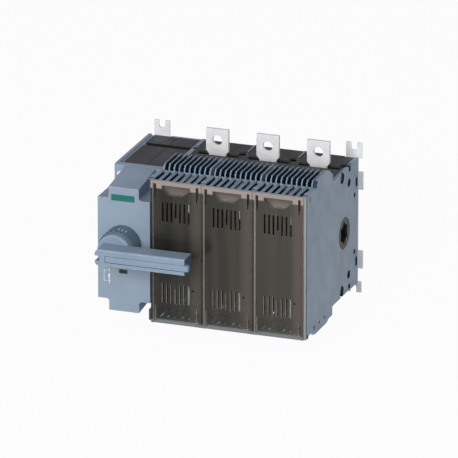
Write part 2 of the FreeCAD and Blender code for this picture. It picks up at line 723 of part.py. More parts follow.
def vent_cuts(x, face, back):
    """Two rows of upright slots; the middle one of each row is shorter."""
    cuts = []
    for k in range(VENT_SLOTS):
        middle = x + VENT_OFF_CENTRE + (k - (VENT_SLOTS - 1) / 2) * VENT_PITCH
        short = VENT_SHORT if k == VENT_SLOTS // 2 else 0
        top = block(middle - VENT_SLOT / 2, middle + VENT_SLOT / 2, -face, -back,
                    VENT_TOP - VENT_HEIGHT + short, VENT_TOP)
        cuts += [top, upside_down(top)]
    return cuts


def corner_cuts(x, half, face, back):
    cuts = []
    for side in (-1, 1):
        x0 = x + side * (half - CORNER_SLOT_INSET) - CORNER_SLOT / 2
        top = HALF_FRONT - 2 * RIM_SHEET
        cut = block(x0, x0 + CORNER_SLOT, -face, -back, top - CORNER_SLOT_HEIGHT, top)
        cuts += [cut, upside_down(cut)]
    return cuts


def grip_outline(x, spread):
    """The finger recess at the cover's top edge, narrower towards its foot."""
    crown = HALF_FRONT - GRILLE_PLATE - RIM_GAP - RIM_SHEET
    top = crown + spread
    foot = crown - GRIP_HEIGHT - spread
    return [(x - GRIP_TOP_HALF - spread, top), (x + GRIP_TOP_HALF + spread, top),
            (x + GRIP_TOP_HALF + spread, top - GRIP_HEIGHT / 3),
            (x + GRIP_FOOT_HALF + spread, foot), (x - GRIP_FOOT_HALF - spread, foot),
            (x - GRIP_TOP_HALF - spread, top - GRIP_HEIGHT / 3)]


def fuse_cover(n):
    """A see-through cover: ribbed sheet, inner rim, finger recess, vents and hinge bosses."""
    x = pole_middle(n)
    half = (POLE_PITCH - COVER_GAP) / 2
    face = COVER_BACK + COVER_SHEET
    sheet = block(x - half, x + half, -face, -COVER_BACK, -HALF_FRONT, HALF_FRONT)
    parts = [sheet]
    for x0 in (x - half, x + half - COVER_RIB_WIDTH):
        parts.append(block(x0, x0 + COVER_RIB_WIDTH, -DEPTH, -face, -HALF_FRONT, HALF_FRONT))
    parts.append(block(x - half, x + half, -DEPTH, -face, HALF_FRONT - COVER_RIB_WIDTH, HALF_FRONT))
    rim_half = POLE_INNER / 2 - RIM_GAP
    rim_top = HALF_FRONT - GRILLE_PLATE - RIM_GAP
    rim_back = COVER_BACK - RIM_DEPTH
    outer = block(x - rim_half, x + rim_half, -COVER_BACK, -rim_back, HINGE_Z, rim_top)
    inner = block(x - rim_half + RIM_SHEET, x + rim_half - RIM_SHEET, -COVER_BACK, -rim_back,
                  HINGE_Z - 1, rim_top - RIM_SHEET)
    parts.append(outer.cut(inner))
    parts.append(frontal(grip_outline(x, RIM_SHEET), -COVER_BACK, -COVER_BACK + GRIP_DEPTH))
    knuckle = HINGE_SETBACK - SEAT_GAP
    for side in (-1, 1):
        x0 = min(x + side * rim_half, x + side * (rim_half - RIM_SHEET))
        parts.append(rod(V(1, 0, 0), V(x0, HINGE_Y, HINGE_Z), knuckle, RIM_SHEET))
        x0 = min(x + side * rim_half, x + side * (rim_half + RIM_GAP + BOSS_LENGTH))
        parts.append(rod(V(1, 0, 0), V(x0, HINGE_Y, HINGE_Z), BOSS_RADIUS, RIM_GAP + BOSS_LENGTH))
    cover = join(parts)
    cuts = vent_cuts(x, DEPTH, COVER_BACK) + corner_cuts(x, half, DEPTH, COVER_BACK)
    cuts.append(frontal(grip_outline(x, 0), -DEPTH, -COVER_BACK + GRIP_DEPTH - RIM_SHEET))
    cuts.append(rod(V(0, 1, 0), V(x + half - 2 * CORNER_SLOT_INSET, -DEPTH, -HALF_FRONT / 2),
                    TEST_HOLE / 2, DEPTH - COVER_BACK))
    return cover.cut(cuts)


# The drive unit

def drive_front_x():
    return LEFT, LEFT + DRIVE_FRONT_WIDTH


def slope_tool(z_front, z_back, side):
    """A wedge that planes the top (side 1) or bottom (side -1) of the drive's front."""
    x0, x1 = LEFT - 1, DRIVE_RIGHT + 1
    far = side * 2 * HALF_FRONT
    return across([(-DEPTH, z_front), (-DRIVE_FACE, z_front), (-CAP_FRONT, z_back),
                   (-CAP_FRONT, far), (-DEPTH, far)], x0, x1)


def drive_front_cover():
    """The drive's front moulding, with a screw channel along each of its four corners."""
    x0, x1 = drive_front_x()
    y0, y1 = -DRIVE_FACE, -DRIVE_BOX_DEPTH
    low = DRIVE_FACE_BOTTOM
    body = block(x0, x1, y0, y1, low, HALF_REAR)
    channels = []
    for cx0, cx1 in ((x0 - 1, x0 + NOTCH_WIDTH), (x1 - NOTCH_WIDTH, x1 + 1)):
        for cz0, cz1 in ((low - 1, low + NOTCH_HEIGHT), (DRIVE_FACE_TOP - NOTCH_HEIGHT, HALF_REAR + 1)):
            channels.append(block(cx0, cx1, y0, y1, cz0, cz1))
    body = body.cut(channels)
    inset = NOTCH_WIDTH
    corners = edges_where(body, lambda b: b.YLength > DRIVE_FACE - DRIVE_BOX_DEPTH - 0.1
                          and x0 + inset / 2 < b.XMin < x1 - inset / 2
                          and low + inset / 2 < b.ZMin < DRIVE_FACE_TOP - inset / 2)
    body = body.makeFillet(NOTCH_CORNER, corners)
    body = body.cut(slope_tool(DRIVE_FACE_TOP, HALF_REAR, 1))
    body = body.cut(slope_tool(low, -HALF_REAR, -1))
    wall = DRIVE_WALL
    middle = block(x0 + inset + wall, x1 - inset - wall, y0 + wall, y1, low + 2 * wall,
                   DRIVE_FACE_TOP - wall)
    sides = block(x0 + wall, x1 - wall, y0 + wall, y1, low + NOTCH_HEIGHT + wall,
                  DRIVE_FACE_TOP - NOTCH_HEIGHT - wall)
    bore = rod(V(0, 1, 0), V(SPINDLE_X, y0, 0), SPINDLE_RADIUS + RUNNING_GAP, 2 * wall)
    return body.cut([middle, sides, bore, window_block(0)])


def window_block(setback):
    """The pocket of the position window, or the window in it when set back from the face."""
    half = WINDOW_WIDTH / 2
    y0 = -DRIVE_FACE
    return block(SPINDLE_X - half, SPINDLE_X + half, y0 + setback, y0 + WINDOW_DEPTH,
                 -WINDOW_DROP - WINDOW_HEIGHT / 2, -WINDOW_DROP + WINDOW_HEIGHT / 2)


def cap_room():
    return LEFT + CAP_SIDE, DRIVE_RIGHT - CAP_LEDGE / 2


def drive_housing():
    """The box behind the drive's front cover, open in front and under its two caps."""
    wall = DRIVE_WALL
    box = block(LEFT, DRIVE_RIGHT, -DRIVE_BOX_DEPTH, 0, -HALF_REAR, HALF_REAR)
    box = box.cut(slope_tool(DRIVE_FACE_TOP, HALF_REAR, 1))
    room = block(LEFT + wall, DRIVE_RIGHT - wall, -DRIVE_BOX_DEPTH, -wall,
                 -HALF_REAR + wall, HALF_REAR - CAP_SIDE)
    x0, x1 = cap_room()
    seat = block(x0, x1, -CAP_FRONT, -wall, HALF_REAR - CAP_THICK, HALF_REAR)
    hatch = block(x0 + CAP_LEDGE, x1 - CAP_LEDGE, -CAP_FRONT + CAP_LEDGE, -wall - CAP_LEDGE,
                  HALF_REAR - CAP_SIDE, HALF_REAR)
    room = room.cut([screw_post(x, z) for x, z in drive_screw_places()])
    step = block(LEFT + SIDE_RIM, x0, -CAP_FRONT, 0, HALF_REAR - SIDE_STEP, HALF_REAR)
    tools = [room, seat, hatch, step, bracket_pocket(bracket_left_x())]
    tools.append(rod(V(1, 0, 0), V(DRIVE_RIGHT - wall, SHAFT_Y, 0), DRUM_RADIUS + RUNNING_GAP, wall))
    tools += tie_rods_along(DRIVE_RIGHT - wall, DRIVE_RIGHT, SEAT_GAP)
    for x, z in drive_screw_places():
        tools.append(rod(V(0, 1, 0), V(x, -DRIVE_BOX_DEPTH, z), SCREW_SHANK + SEAT_GAP, SCREW_LENGTH))
    return box.cut(tools)


def drive_cap(x0, x1, trough_x0, trough_x1):
    """A dark cap over the drive's works, crossed by a channel that deepens to a trough."""
    y0, y1 = -CAP_FRONT + SEAT_GAP, -DRIVE_WALL - SEAT_GAP
    front, back = -CAP_CHANNEL_FRONT, -CAP_CHANNEL_BACK
    floor = HALF_REAR - TROUGH_DEPTH
    cap = block(x0, x1, y0, y1, HALF_REAR - CAP_THICK, HALF_REAR)
    trough = block(trough_x0, trough_x1, front - TROUGH_WALL, back + TROUGH_WALL, floor - TROUGH_WALL,
                   HALF_REAR)
    channel = block(x0, x1, front, back, HALF_REAR - CAP_CHANNEL_DEPTH, HALF_REAR)
    deep = block(trough_x0, trough_x1, front, back, floor, HALF_REAR)
    return join([cap, trough]).cut([channel, deep])


def drive_cap_left():
    x0, x1 = cap_room()
    edge = LEFT + CAP_SPLIT - CAP_SEAM / 2
    return drive_cap(x0 + SEAT_GAP, edge, x0 + CAP_LEDGE + SEAT_GAP, edge)


def drive_cap_right():
    x0, x1 = cap_room()
    edge = LEFT + CAP_SPLIT + CAP_SEAM / 2
    return drive_cap(edge, x1 - SEAT_GAP, edge, x1 - CAP_LEDGE - SEAT_GAP)


def drive_screw_places():
    x0, x1 = drive_front_x()
    inset = NOTCH_WIDTH / 2
    high = (DRIVE_FACE_TOP - NOTCH_HEIGHT + HALF_REAR) / 2
    low = -(HALF_REAR - DRIVE_FACE_BOTTOM - NOTCH_HEIGHT) / 2
    return [(x, z) for x in (x0 + inset, x1 - inset) for z in (low, high)]


def screw_post(x, z):
    """The post in a corner of the housing that takes a screw."""
    y0 = -DRIVE_BOX_DEPTH
    half_x = NOTCH_WIDTH / 2
    return block(x - half_x, x + half_x, y0, y0 + SCREW_LENGTH + SCREW_POST_FLOOR,
                 z - SCREW_POST, z + SCREW_POST)


def drive_screws():
    """Four screws at the inner ends of the corner channels."""
    screws = []
    for x, z in drive_screw_places():
        head = rod(V(0, 1, 0), V(x, -DRIVE_BOX_DEPTH - SCREW_HEAD, z), SCREW_RADIUS, SCREW_HEAD)
        shank = rod(V(0, 1, 0), V(x, -DRIVE_BOX_DEPTH, z), SCREW_SHANK, SCREW_LENGTH)
        screws.append(head.fuse(shank))
    return Part.makeCompound(screws)


def handle_collar():
    """The ring on the drive's face round the lever's hub, with a ticked rim."""
    front = -COLLAR_FRONT
    ring = rod(V(0, 1, 0), V(SPINDLE_X, front, 0), COLLAR_RADIUS, COLLAR_LENGTH)
    bore = rod(V(0, 1, 0), V(SPINDLE_X, front, 0), COLLAR_BORE, COLLAR_LENGTH)
    ticks = []
    for k in range(COLLAR_TICKS):
        tick = block(COLLAR_RADIUS - COLLAR_TICK, COLLAR_RADIUS + 1, front, front + 3 * COLLAR_TICK,
                     -COLLAR_TICK / 2, COLLAR_TICK / 2)
        tick.rotate(V(0, 0, 0), V(0, 1, 0), 360 * k / COLLAR_TICKS)
        tick.translate(V(SPINDLE_X, 0, 0))
        ticks.append(tick)
    return ring.cut([bore] + ticks)


# The lever

def slide_room(clearance):
    """The channel for the padlock slide, or the slide itself when given a clearance."""
    x0 = SPINDLE_X - SLIDE_TAIL + clearance
    half = SLIDE_HEIGHT / 2 - clearance
    y0 = -LEVER_FRONT + clearance
    y1 = -LEVER_FRONT + SLIDE_DEPTH - clearance
    return x0, y0, y1, SLIDE_DROP - half, SLIDE_DROP + half


def key_block(x0, x1, clearance):
    """The wider foot that keeps the slide in its channel."""
    y0 = -LEVER_FRONT + SLIDE_DEPTH / 2 + clearance
    y1 = -LEVER_FRONT + SLIDE_DEPTH - clearance
    half = SLIDE_HEIGHT / 2 + SLIDE_KEY - clearance
    return block(x0, x1, y0, y1, SLIDE_DROP - half, SLIDE_DROP + half)


def handle_lever():
    """Lever bar and round hub in one moulding, with a forked tail and a slide channel."""
    x0, x1 = SPINDLE_X - LEVER_TAIL, SPINDLE_X + LEVER_REACH
    half = LEVER_HEIGHT / 2
    tail = []
    for k in range(TAIL_FACETS + 1):
        turn = math.pi / 2 * (1 + k / TAIL_FACETS)
        tail.append((x0 + TAIL_ROUND * (1 + math.cos(turn)), half - TAIL_ROUND * (1 - math.sin(turn))))
    bar = frontal([(x1, half)] + tail + mirrored(tail) + [(x1, -half)], -LEVER_FRONT, -LEVER_BACK)
    long_edges = edges_where(bar, lambda b: b.XLength > LEVER_REACH / 2 and b.YLength < 0.1
                             and b.YMax < -LEVER_FRONT + 0.1)
    bar = bar.makeChamfer(LEVER_CHAMFER, long_edges)
    hub = rod(V(0, 1, 0), V(SPINDLE_X, -LEVER_BACK, 0), HUB_RADIUS, HUB_LENGTH)
    brow = edges_where(hub, lambda b: b.YMax < -LEVER_BACK + 0.1 and b.YLength < 0.1)
    hub = hub.makeChamfer(HUB_CHAMFER, brow)
    whole = bar.fuse(hub)
    sx, y0, y1, z0, z1 = slide_room(0)
    channel = block(sx, x1 + 1, y0, y1, z0, z1)
    fork = block(x0 - 1, x0 + FORK_DEPTH, -LEVER_FRONT, -LEVER_BACK,
                 FORK_DROP - FORK_WIDTH / 2, FORK_DROP + FORK_WIDTH / 2)
    return whole.cut([channel, key_block(sx, x1 + 1, 0), fork])


def padlock_slide():
    """The bar that draws out of the lever's tip for a padlock."""
    x0, y0, y1, z0, z1 = slide_room(SEAM)
    x1 = SPINDLE_X + LEVER_REACH + SLIDE_PROUD
    body = block(x0, x1, y0, y1, z0, z1)
    foot = key_block(x0, x1 - SLIDE_PROUD - SEAM, SEAM)
    slide = body.fuse(foot).removeSplitter()
    x = SPINDLE_X + LEVER_REACH - SLIDE_TRAVEL / 2
    middle = (y0 + y1) / 2
    eye = rod(V(0, 0, 1), V(x, middle, SLIDE_DROP - SLIDE_HEIGHT), PADLOCK_HOLE / 2, 2 * SLIDE_HEIGHT)
    return slide.cut(eye)


def handle_spindle():
    start = V(SPINDLE_X, -HUB_BACK, 0)
    length = HUB_BACK - SHAFT_FROM_BACK - GEAR_RADIUS - GEAR_BACK
    return rod(V(0, 1, 0), start, SPINDLE_RADIUS, length)


# The bevel gears: built with the apex at the origin and the axis along +Z

def cone_point(slant, lift):
    """A point of the gear's section: slant along the pitch cone, lift square to it."""
    leg = math.sqrt(0.5)
    return (slant + lift) * leg, (slant - lift) * leg


def tooth_section(slant, share):
    """The four corners of a tooth across the pitch cone, at a share of full size."""
    root_half = TOOTH_PITCH_HALF + (TOOTH_PITCH_HALF - TOOTH_TIP_HALF) * TOOTH_BELOW / TOOTH_ABOVE
    corners = []
    for lift, half in ((-TOOTH_BELOW - TOOTH_SUNK, root_half), (TOOTH_ABOVE, TOOTH_TIP_HALF)):
        reach, height = cone_point(slant, lift * share)
        corners.append((V(reach, -half * share, height), V(reach, half * share, height)))
    (a, b), (c, d) = corners
    return [a, b, d, c]


def gear_ring(reach, height):
    """The corners of the gear's blank at one height, with a flat under each tooth."""
    return [V(y, z, height) for y, z in regular(0, 0, reach, GEAR_TEETH)]


def bevel_gear(phase):
    """A mitre gear with straight teeth; phase turns it, in pitches."""
    slant = GEAR_RADIUS * math.sqrt(2)
    inner = (slant - GEAR_FACE) / slant
    r1, z1 = cone_point(slant, -TOOTH_BELOW)
    blank = flat_sided([gear_ring(r1 * inner, z1 * inner), gear_ring(r1, z1),
                        gear_ring(r1, GEAR_RADIUS + GEAR_BACK)])
    parts = [blank]
    for k in range(GEAR_TEETH):
        tooth = flat_sided([tooth_section(slant, 1), tooth_section(slant * inner, inner)])
        tooth.rotate(V(0, 0, 0), V(0, 0, 1), 360 * k / GEAR_TEETH)
        parts.append(tooth)
    gear = join(parts)
    gear.rotate(V(0, 0, 0), V(0, 0, 1), 360 * phase / GEAR_TEETH)
    return gear


def spindle_gear():
    """The gear on the lever's spindle: its axis runs from the shaft towards the front."""
    gear = bevel_gear(0)
    gear.rotate(V(0, 0, 0), V(1, 0, 0), 90)
    gear.translate(V(SPINDLE_X, SHAFT_Y, 0))
    return gear


def shaft_gear():
    """The gear on the switch shaft: its axis runs from the spindle towards the poles."""
    gear = bevel_gear(0.5)
    gear.rotate(V(0, 0, 0), V(0, 1, 0), 90)
    gear.translate(V(SPINDLE_X, SHAFT_Y, 0))
    return gear


def drive_shaft():
    """The journal between the shaft gear and the first drum, with a star socket."""
    x0 = SPINDLE_X + GEAR_RADIUS + GEAR_BACK
    x1 = pole_edge(0) + PARTITION / 2
    journal = rod(V(1, 0, 0), V(x0, SHAFT_Y, 0), DRUM_RADIUS, x1 - x0)
    return journal.cut(star(x1 - SOCKET_DEPTH, 0, SOCKET_DEPTH))


def gear_frame():
    """The steel plate across the drive that carries the spindle next to its gear."""
    y1 = SHAFT_Y - GEAR_RADIUS - FRAME_FROM_GEAR
    plate = block(LEFT + DRIVE_WALL, DRIVE_RIGHT - DRIVE_WALL, y1 - FRAME_PLATE, y1,
                  -FRAME_HALF_HEIGHT, FRAME_HALF_HEIGHT)
    bore = rod(V(0, 1, 0), V(SPINDLE_X, y1 - FRAME_PLATE, 0), SPINDLE_RADIUS + RUNNING_GAP, FRAME_PLATE)
    return plate.cut(bore)


# Brackets and tie rods

def bracket_left_x():
    return LEFT + BRACKET_LEFT_INSET


def bracket_right_x():
    return HALF_WIDTH - BRACKET_RIGHT_INSET


def bracket_pocket(x):
    """The pocket that lets a bracket lie flush with the mounting plane."""
    half = BRACKET_TAB / 2 + BRACKET_EAR + SEAT_GAP
    return block(x - half, x + half, -BRACKET_SHEET, 1, -REAR_HEIGHT, REAR_HEIGHT)


def bracket(x, hand):
    """A sheet strip with an open slot at each end and two ears; hand is the ears' side."""
    tab = BRACKET_TAB / 2
    half = BRACKET_SLOT / 2
    y0 = -BRACKET_SHEET
    waist = hand * (BRACKET_WAIST - tab)
    ear = x + hand * (tab + BRACKET_EAR)
    parts = [block(min(x - hand * tab, x + waist), max(x - hand * tab, x + waist), y0, 0,
                   -HALF_REAR, HALF_REAR)]
    slots = []
    for side, short in ((1, 0), (-1, BRACKET_FOOT_SHORT)):
        tip = BRACKET_TIP - short
        floor = BRACKET_SLOT_FLOOR - short + half
        tongue = block(x - tab, x + tab, y0, 0, HALF_REAR, tip)
        wing = block(min(x, ear), max(x, ear), y0, 0, BRACKET_EAR_FOOT, BRACKET_EAR_TOP)
        slot = block(x - half, x + half, y0, 0, floor, tip)
        slot = slot.fuse(rod(V(0, 1, 0), V(x, y0, floor), half, BRACKET_SHEET))
        parts += [tongue, wing] if side > 0 else [upside_down(tongue), upside_down(wing)]
        slots.append(slot if side > 0 else upside_down(slot))
    return join(parts).cut(slots)


def mounting_bracket_left():
    return bracket(bracket_left_x(), -1)


def mounting_bracket_right():
    return bracket(bracket_right_x(), 1)


def tie_rods():
    x1 = HALF_WIDTH - END_PLATE * 3 / 4
    return Part.makeCompound(tie_rods_along(DRIVE_RIGHT - DRIVE_WALL, x1))


def drive_nodes():
    return {
        "drive_housing": drive_housing(),
        "drive_front_cover": drive_front_cover(),
        "drive_cap_left": drive_cap_left(),
        "drive_cap_right": drive_cap_right(),
        "drive_screws": drive_screws(),
        "position_window": window_block(WINDOW_SETBACK),
        "handle_collar": handle_collar(),
        "handle_lever": handle_lever(),
        "padlock_slide": padlock_slide(),
        "handle_spindle": handle_spindle(),
        "spindle_gear": spindle_gear(),
        "shaft_gear": shaft_gear(),
        "drive_shaft": drive_shaft(),
        "gear_frame": gear_frame(),
    }


def frame_nodes():
    nodes = {
        "end_plate_left": end_plate_left(),
        "end_plate_right": end_plate_right(),
        "mounting_bracket_left": mounting_bracket_left(),
        "mounting_bracket_right": mounting_bracket_right(),
        "tie_rods": tie_rods(),
    }
    for n in range(1, POLES):
        nodes[f"partition_{n}"] = partition(n)
    return nodes


def pole_nodes(n):
    pieces = {
        "chamber_front": chamber_front(n),
        "chamber_rear": chamber_rear(n),
        "contact_drum": contact_drum(n),
        "contact_bars": contact_bars(n),
        "splitter_plates": splitter_plates(n),
        "line_terminal": terminal(n, 1),
        "load_terminal": terminal(n, -1),
        "fuse_jaw_top": fuse_jaw(n, 1),
        "fuse_jaw_bottom": fuse_jaw(n, -1),
        "vent_grille_top": vent_grille_top(n),
        "vent_grille_bottom": vent_grille_bottom(n),
        "fuse_cover": fuse_cover(n),
    }
    return {f"{name}_{n + 1}": shape for name, shape in pieces.items()}


def build():
    nodes = {**drive_nodes(), **frame_nodes()}
    for n in range(POLES):
        nodes.update(pole_nodes(n))
    return nodes


if __name__ == "__main__":
    os.makedirs("parts", exist_ok=True)
    for name, shape in build().items():
        shape.exportStep(f"parts/{name}.step")
        print(name, len(shape.Solids), shape.isValid(), round(shape.Volume))
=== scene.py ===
import logging
import math
from collections.abc import Callable, Iterable, Sequence
from dataclasses import dataclass
from enum import Enum, IntEnum

import bmesh
import bpy
from mathutils import Matrix, Vector
from mathutils.bvhtree import BVHTree


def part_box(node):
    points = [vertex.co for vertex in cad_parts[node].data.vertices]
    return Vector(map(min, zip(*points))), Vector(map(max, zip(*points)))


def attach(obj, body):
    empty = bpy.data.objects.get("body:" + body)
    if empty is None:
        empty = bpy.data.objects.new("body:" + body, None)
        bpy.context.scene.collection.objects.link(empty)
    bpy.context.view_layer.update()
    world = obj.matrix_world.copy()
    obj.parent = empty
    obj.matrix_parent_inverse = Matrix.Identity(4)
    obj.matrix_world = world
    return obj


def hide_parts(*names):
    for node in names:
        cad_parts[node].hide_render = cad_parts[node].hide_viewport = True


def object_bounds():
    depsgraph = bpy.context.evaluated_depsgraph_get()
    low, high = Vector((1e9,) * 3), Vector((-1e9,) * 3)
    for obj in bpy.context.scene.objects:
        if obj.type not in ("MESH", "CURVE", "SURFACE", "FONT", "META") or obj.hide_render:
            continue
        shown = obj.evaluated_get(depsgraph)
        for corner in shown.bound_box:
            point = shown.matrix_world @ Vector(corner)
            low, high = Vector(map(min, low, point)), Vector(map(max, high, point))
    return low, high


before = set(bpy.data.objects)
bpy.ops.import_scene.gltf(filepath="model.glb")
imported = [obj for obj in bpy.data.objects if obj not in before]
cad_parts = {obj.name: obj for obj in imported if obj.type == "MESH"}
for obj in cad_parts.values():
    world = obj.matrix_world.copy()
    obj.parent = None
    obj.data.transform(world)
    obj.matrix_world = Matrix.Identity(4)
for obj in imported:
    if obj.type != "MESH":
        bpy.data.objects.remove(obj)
CAD_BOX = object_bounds()

log = logging.getLogger("switch_disconnector")

MM = 0.001
MERGE_DISTANCE = 0.002 * MM
FLAT_ANGLE = math.radians(0.4)
SHARP_ANGLE = math.radians(28)
SMOOTH_ANGLE = math.radians(34)
# Softened faces carry an edge colour: worn edges, with painted highlight where it is lighter and painted
# shadow where it is darker.
WEAR_AND_EDGE_LIGHT_LAYER = "edge_wear_and_painted_light"
EDGE_ROUND = 0.35 * MM
EDGE_FACETS = 2
POLES = 3
SECOND = 1
THIRD = 2

Colour = tuple[float, float, float, float]
Span = tuple[float, float]
Triple = tuple[float, float, float]
FaceTest = Callable[[bmesh.types.BMFace], bool]


def paint(code: str) -> Colour:
    """The linear colour of a display colour code.

    Args:
        code: Six hex digits, red first.

    Returns:
        The linear colour with full alpha.
    """
    shown = [int(code[k:k + 2], 16) / 255 for k in (0, 2, 4)]
    red, green, blue = ((c / 12.92) if c < 0.04045 else ((c + 0.055) / 1.055) ** 2.4 for c in shown)
    return red, green, blue, 1.0


class Body(Enum):
    """The bodies of the mechanism that pieces ride on."""

    HOUSING = "housing"
    LEVER = "lever"
    PADLOCK_BAR = "padlock_bar"
    SWITCH_SHAFT = "switch_shaft"
    COVER_1 = "cover_1"
    COVER_2 = "cover_2"
    COVER_3 = "cover_3"


class Slot(Enum):
    """The record's material slots."""

    BLUE_GREY = "blue_grey"
    DARK_GREY = "dark_grey"
    COLLAR_GREY = "collar_grey"
    LEVER_GREY = "lever_grey"
    SLIDE_GREY = "slide_grey"
    WINDOW_BLACK = "window_black"
    SMOKE_COVER = "smoke_cover"
    DRUM_BLACK = "drum_black"
    TINNED_COPPER = "tinned_copper"
    SILVERED_COPPER = "silvered_copper"
    ZINC_SHEET = "zinc_sheet"


class CoverFinish(IntEnum):
    """The finishes of a fuse cover, by their index on the piece; those after the sheet are painted light.
    """

    SHEET = 0
    EDGE_LIGHT = 1
    GRIP_LIGHT = 2
    SLIT_HIGHLIGHT = 3
    HIGHLIGHT_STRIP = 4
    HIGHLIGHT_LIP = 5


class Shader:
    """A Principled material under construction, with short calls for the nodes it uses."""

    def __init__(self, name: str) -> None:
        """Starts a material.

        Args:
            name: The material's name.
        """
        self.material = bpy.data.materials.new(name)
        self.material.use_nodes = True
        self.tree = self.material.node_tree
        self.surface = self.tree.nodes["Principled BSDF"]
        self.place = self.tree.nodes.new("ShaderNodeTexCoord").outputs["Object"]

    def set(self, socket: str, value: float | Colour | bpy.types.NodeSocket) -> None:
        """Sets or links one of the surface's sockets.

        Args:
            socket: The socket's name.
            value: A plain value, or the output to link.
        """
        if isinstance(value, bpy.types.NodeSocket):
            self.tree.links.new(value, self.surface.inputs[socket])
        else:
            self.surface.inputs[socket].default_value = value

    def stretched(self, stretch: Triple) -> bpy.types.NodeSocket:
        """The piece's own coordinates, scaled apart along each axis.

        Args:
            stretch: The factor along X, Y and Z.

        Returns:
            The mapped coordinates.
        """
        node = self.tree.nodes.new("ShaderNodeMapping")
        node.inputs["Scale"].default_value = stretch
        self.tree.links.new(self.place, node.inputs["Vector"])
        return node.outputs["Vector"]

    def noise(self, size: float, detail: float = 3.0,
              stretch: Triple = (1.0, 1.0, 1.0)) -> bpy.types.NodeSocket:
        """A cloudy pattern.

        Args:
            size: The patches' size in metres.
            detail: How many finer layers it has.
            stretch: The factor along X, Y and Z.

        Returns:
            The pattern's value, about 0.3 to 0.7.
        """
        node = self.tree.nodes.new("ShaderNodeTexNoise")
        node.inputs["Scale"].default_value = 1 / size
        node.inputs["Detail"].default_value = detail
        self.tree.links.new(self.stretched(stretch), node.inputs["Vector"])
        return node.outputs["Fac"]

    def cells(self, size: float) -> bpy.types.NodeSocket:
        """A pattern of patches with one value each.

        Args:
            size: The patches' size in metres.

        Returns:
            The patches' colours, which serve as values.
        """
        node = self.tree.nodes.new("ShaderNodeTexVoronoi")
        node.inputs["Scale"].default_value = 1 / size
        self.tree.links.new(self.place, node.inputs["Vector"])
        return node.outputs["Color"]

    def spread(self, value: bpy.types.NodeSocket, source: Span, target: Span) -> bpy.types.NodeSocket:
        """Maps one range of values to another.

        Args:
            value: The value to map.
            source: The range it comes in.
            target: The range it goes out in.

        Returns:
            The mapped value.
        """
        node = self.tree.nodes.new("ShaderNodeMapRange")
        for socket, number in zip(("From Min", "From Max", "To Min", "To Max"), (*source, *target)):
            node.inputs[socket].default_value = number
        self.tree.links.new(value, node.inputs["Value"])
        return node.outputs["Result"]

    def blend(self, share: bpy.types.NodeSocket, low: Colour | bpy.types.NodeSocket,
              high: Colour | bpy.types.NodeSocket) -> bpy.types.NodeSocket:
        """Mixes two colours.

        Args:
            share: How much of the second colour shows.
            low: The first colour.
            high: The second colour.

        Returns:
            The mixed colour.
        """
        node = self.tree.nodes.new("ShaderNodeMix")
        node.data_type = "RGBA"
        self.tree.links.new(share, node.inputs["Factor"])
        for socket, colour in ((node.inputs[6], low), (node.inputs[7], high)):
            if isinstance(colour, bpy.types.NodeSocket):
                self.tree.links.new(colour, socket)
            else:
                socket.default_value = colour
        return node.outputs[2]

    def math(self, operation: str, *values: float | bpy.types.NodeSocket) -> bpy.types.NodeSocket:
        """One step of arithmetic.

        Args:
            operation: The Math node's operation.
            *values: Its inputs in order, each a number or an output to link.

        Returns:
            The result.
        """
        node = self.tree.nodes.new("ShaderNodeMath")
        node.operation = operation
        for socket, value in zip(node.inputs, values):
            if isinstance(value, bpy.types.NodeSocket):
                self.tree.links.new(value, socket)
            else:
                socket.default_value = value
        return node.outputs["Value"]

    def times(self, a: bpy.types.NodeSocket, b: bpy.types.NodeSocket) -> bpy.types.NodeSocket:
        """The product of two values."""
        return self.math("MULTIPLY", a, b)

    def within(self, value: bpy.types.NodeSocket, low: float, high: float) -> bpy.types.NodeSocket:
        """1 where a value lies between two limits and 0 elsewhere."""
        return self.math("COMPARE", value, (low + high) / 2, (high - low) / 2)

    def ray(self, kind: str) -> bpy.types.NodeSocket:
        """1 for rays of one kind, such as Is Shadow Ray, and 0 for all others."""
        return self.tree.nodes.new("ShaderNodeLightPath").outputs[kind]

    def along(self, axis: str) -> bpy.types.NodeSocket:
        """The piece's own coordinate along one axis.

        Args:
            axis: X, Y or Z.

        Returns:
            The coordinate in metres.
        """
        node = self.tree.nodes.new("ShaderNodeSeparateXYZ")
        self.tree.links.new(self.place, node.inputs["Vector"])
        return node.outputs[axis]

    def wear_and_edge_light(self) -> bpy.types.NodeSocket:
        """The share of the edge colour, worn and painted light, that a piece's softened edges carry, 0 on
        all other faces.
        """
        node = self.tree.nodes.new("ShaderNodeAttribute")
        node.attribute_name = WEAR_AND_EDGE_LIGHT_LAYER
        return node.outputs["Fac"]

    def bump(self, height: bpy.types.NodeSocket, depth: float, strength: float) -> None:
        """Raises the surface by a pattern.

        Args:
            height: The pattern.
            depth: How deep it is in metres.
            strength: How much of it shows.
        """
        node = self.tree.nodes.new("ShaderNodeBump")
        node.inputs["Distance"].default_value = depth
        node.inputs["Strength"].default_value = strength
        self.tree.links.new(height, node.inputs["Height"])
        self.tree.links.new(node.outputs["Normal"], self.surface.inputs["Normal"])


@dataclass(frozen=True)
class Pattern:
    """A cloudy pattern: its patches' size, its finer layers and the values taken as its ends."""

    size: float
    detail: float = 3.0
    ends: Span = (0.3, 0.7)
    stretch: Triple = (1.0, 1.0, 1.0)

    def height(self, shader: Shader) -> bpy.types.NodeSocket:
        """The bare pattern, as a height or a share."""
        return shader.noise(self.size, self.detail, self.stretch)

    def values(self, shader: Shader, low: float = 0.0, high: float = 1.0) -> bpy.types.NodeSocket:
        """The pattern, spread from a low value to a high one."""
        return shader.spread(self.height(shader), self.ends, (low, high))


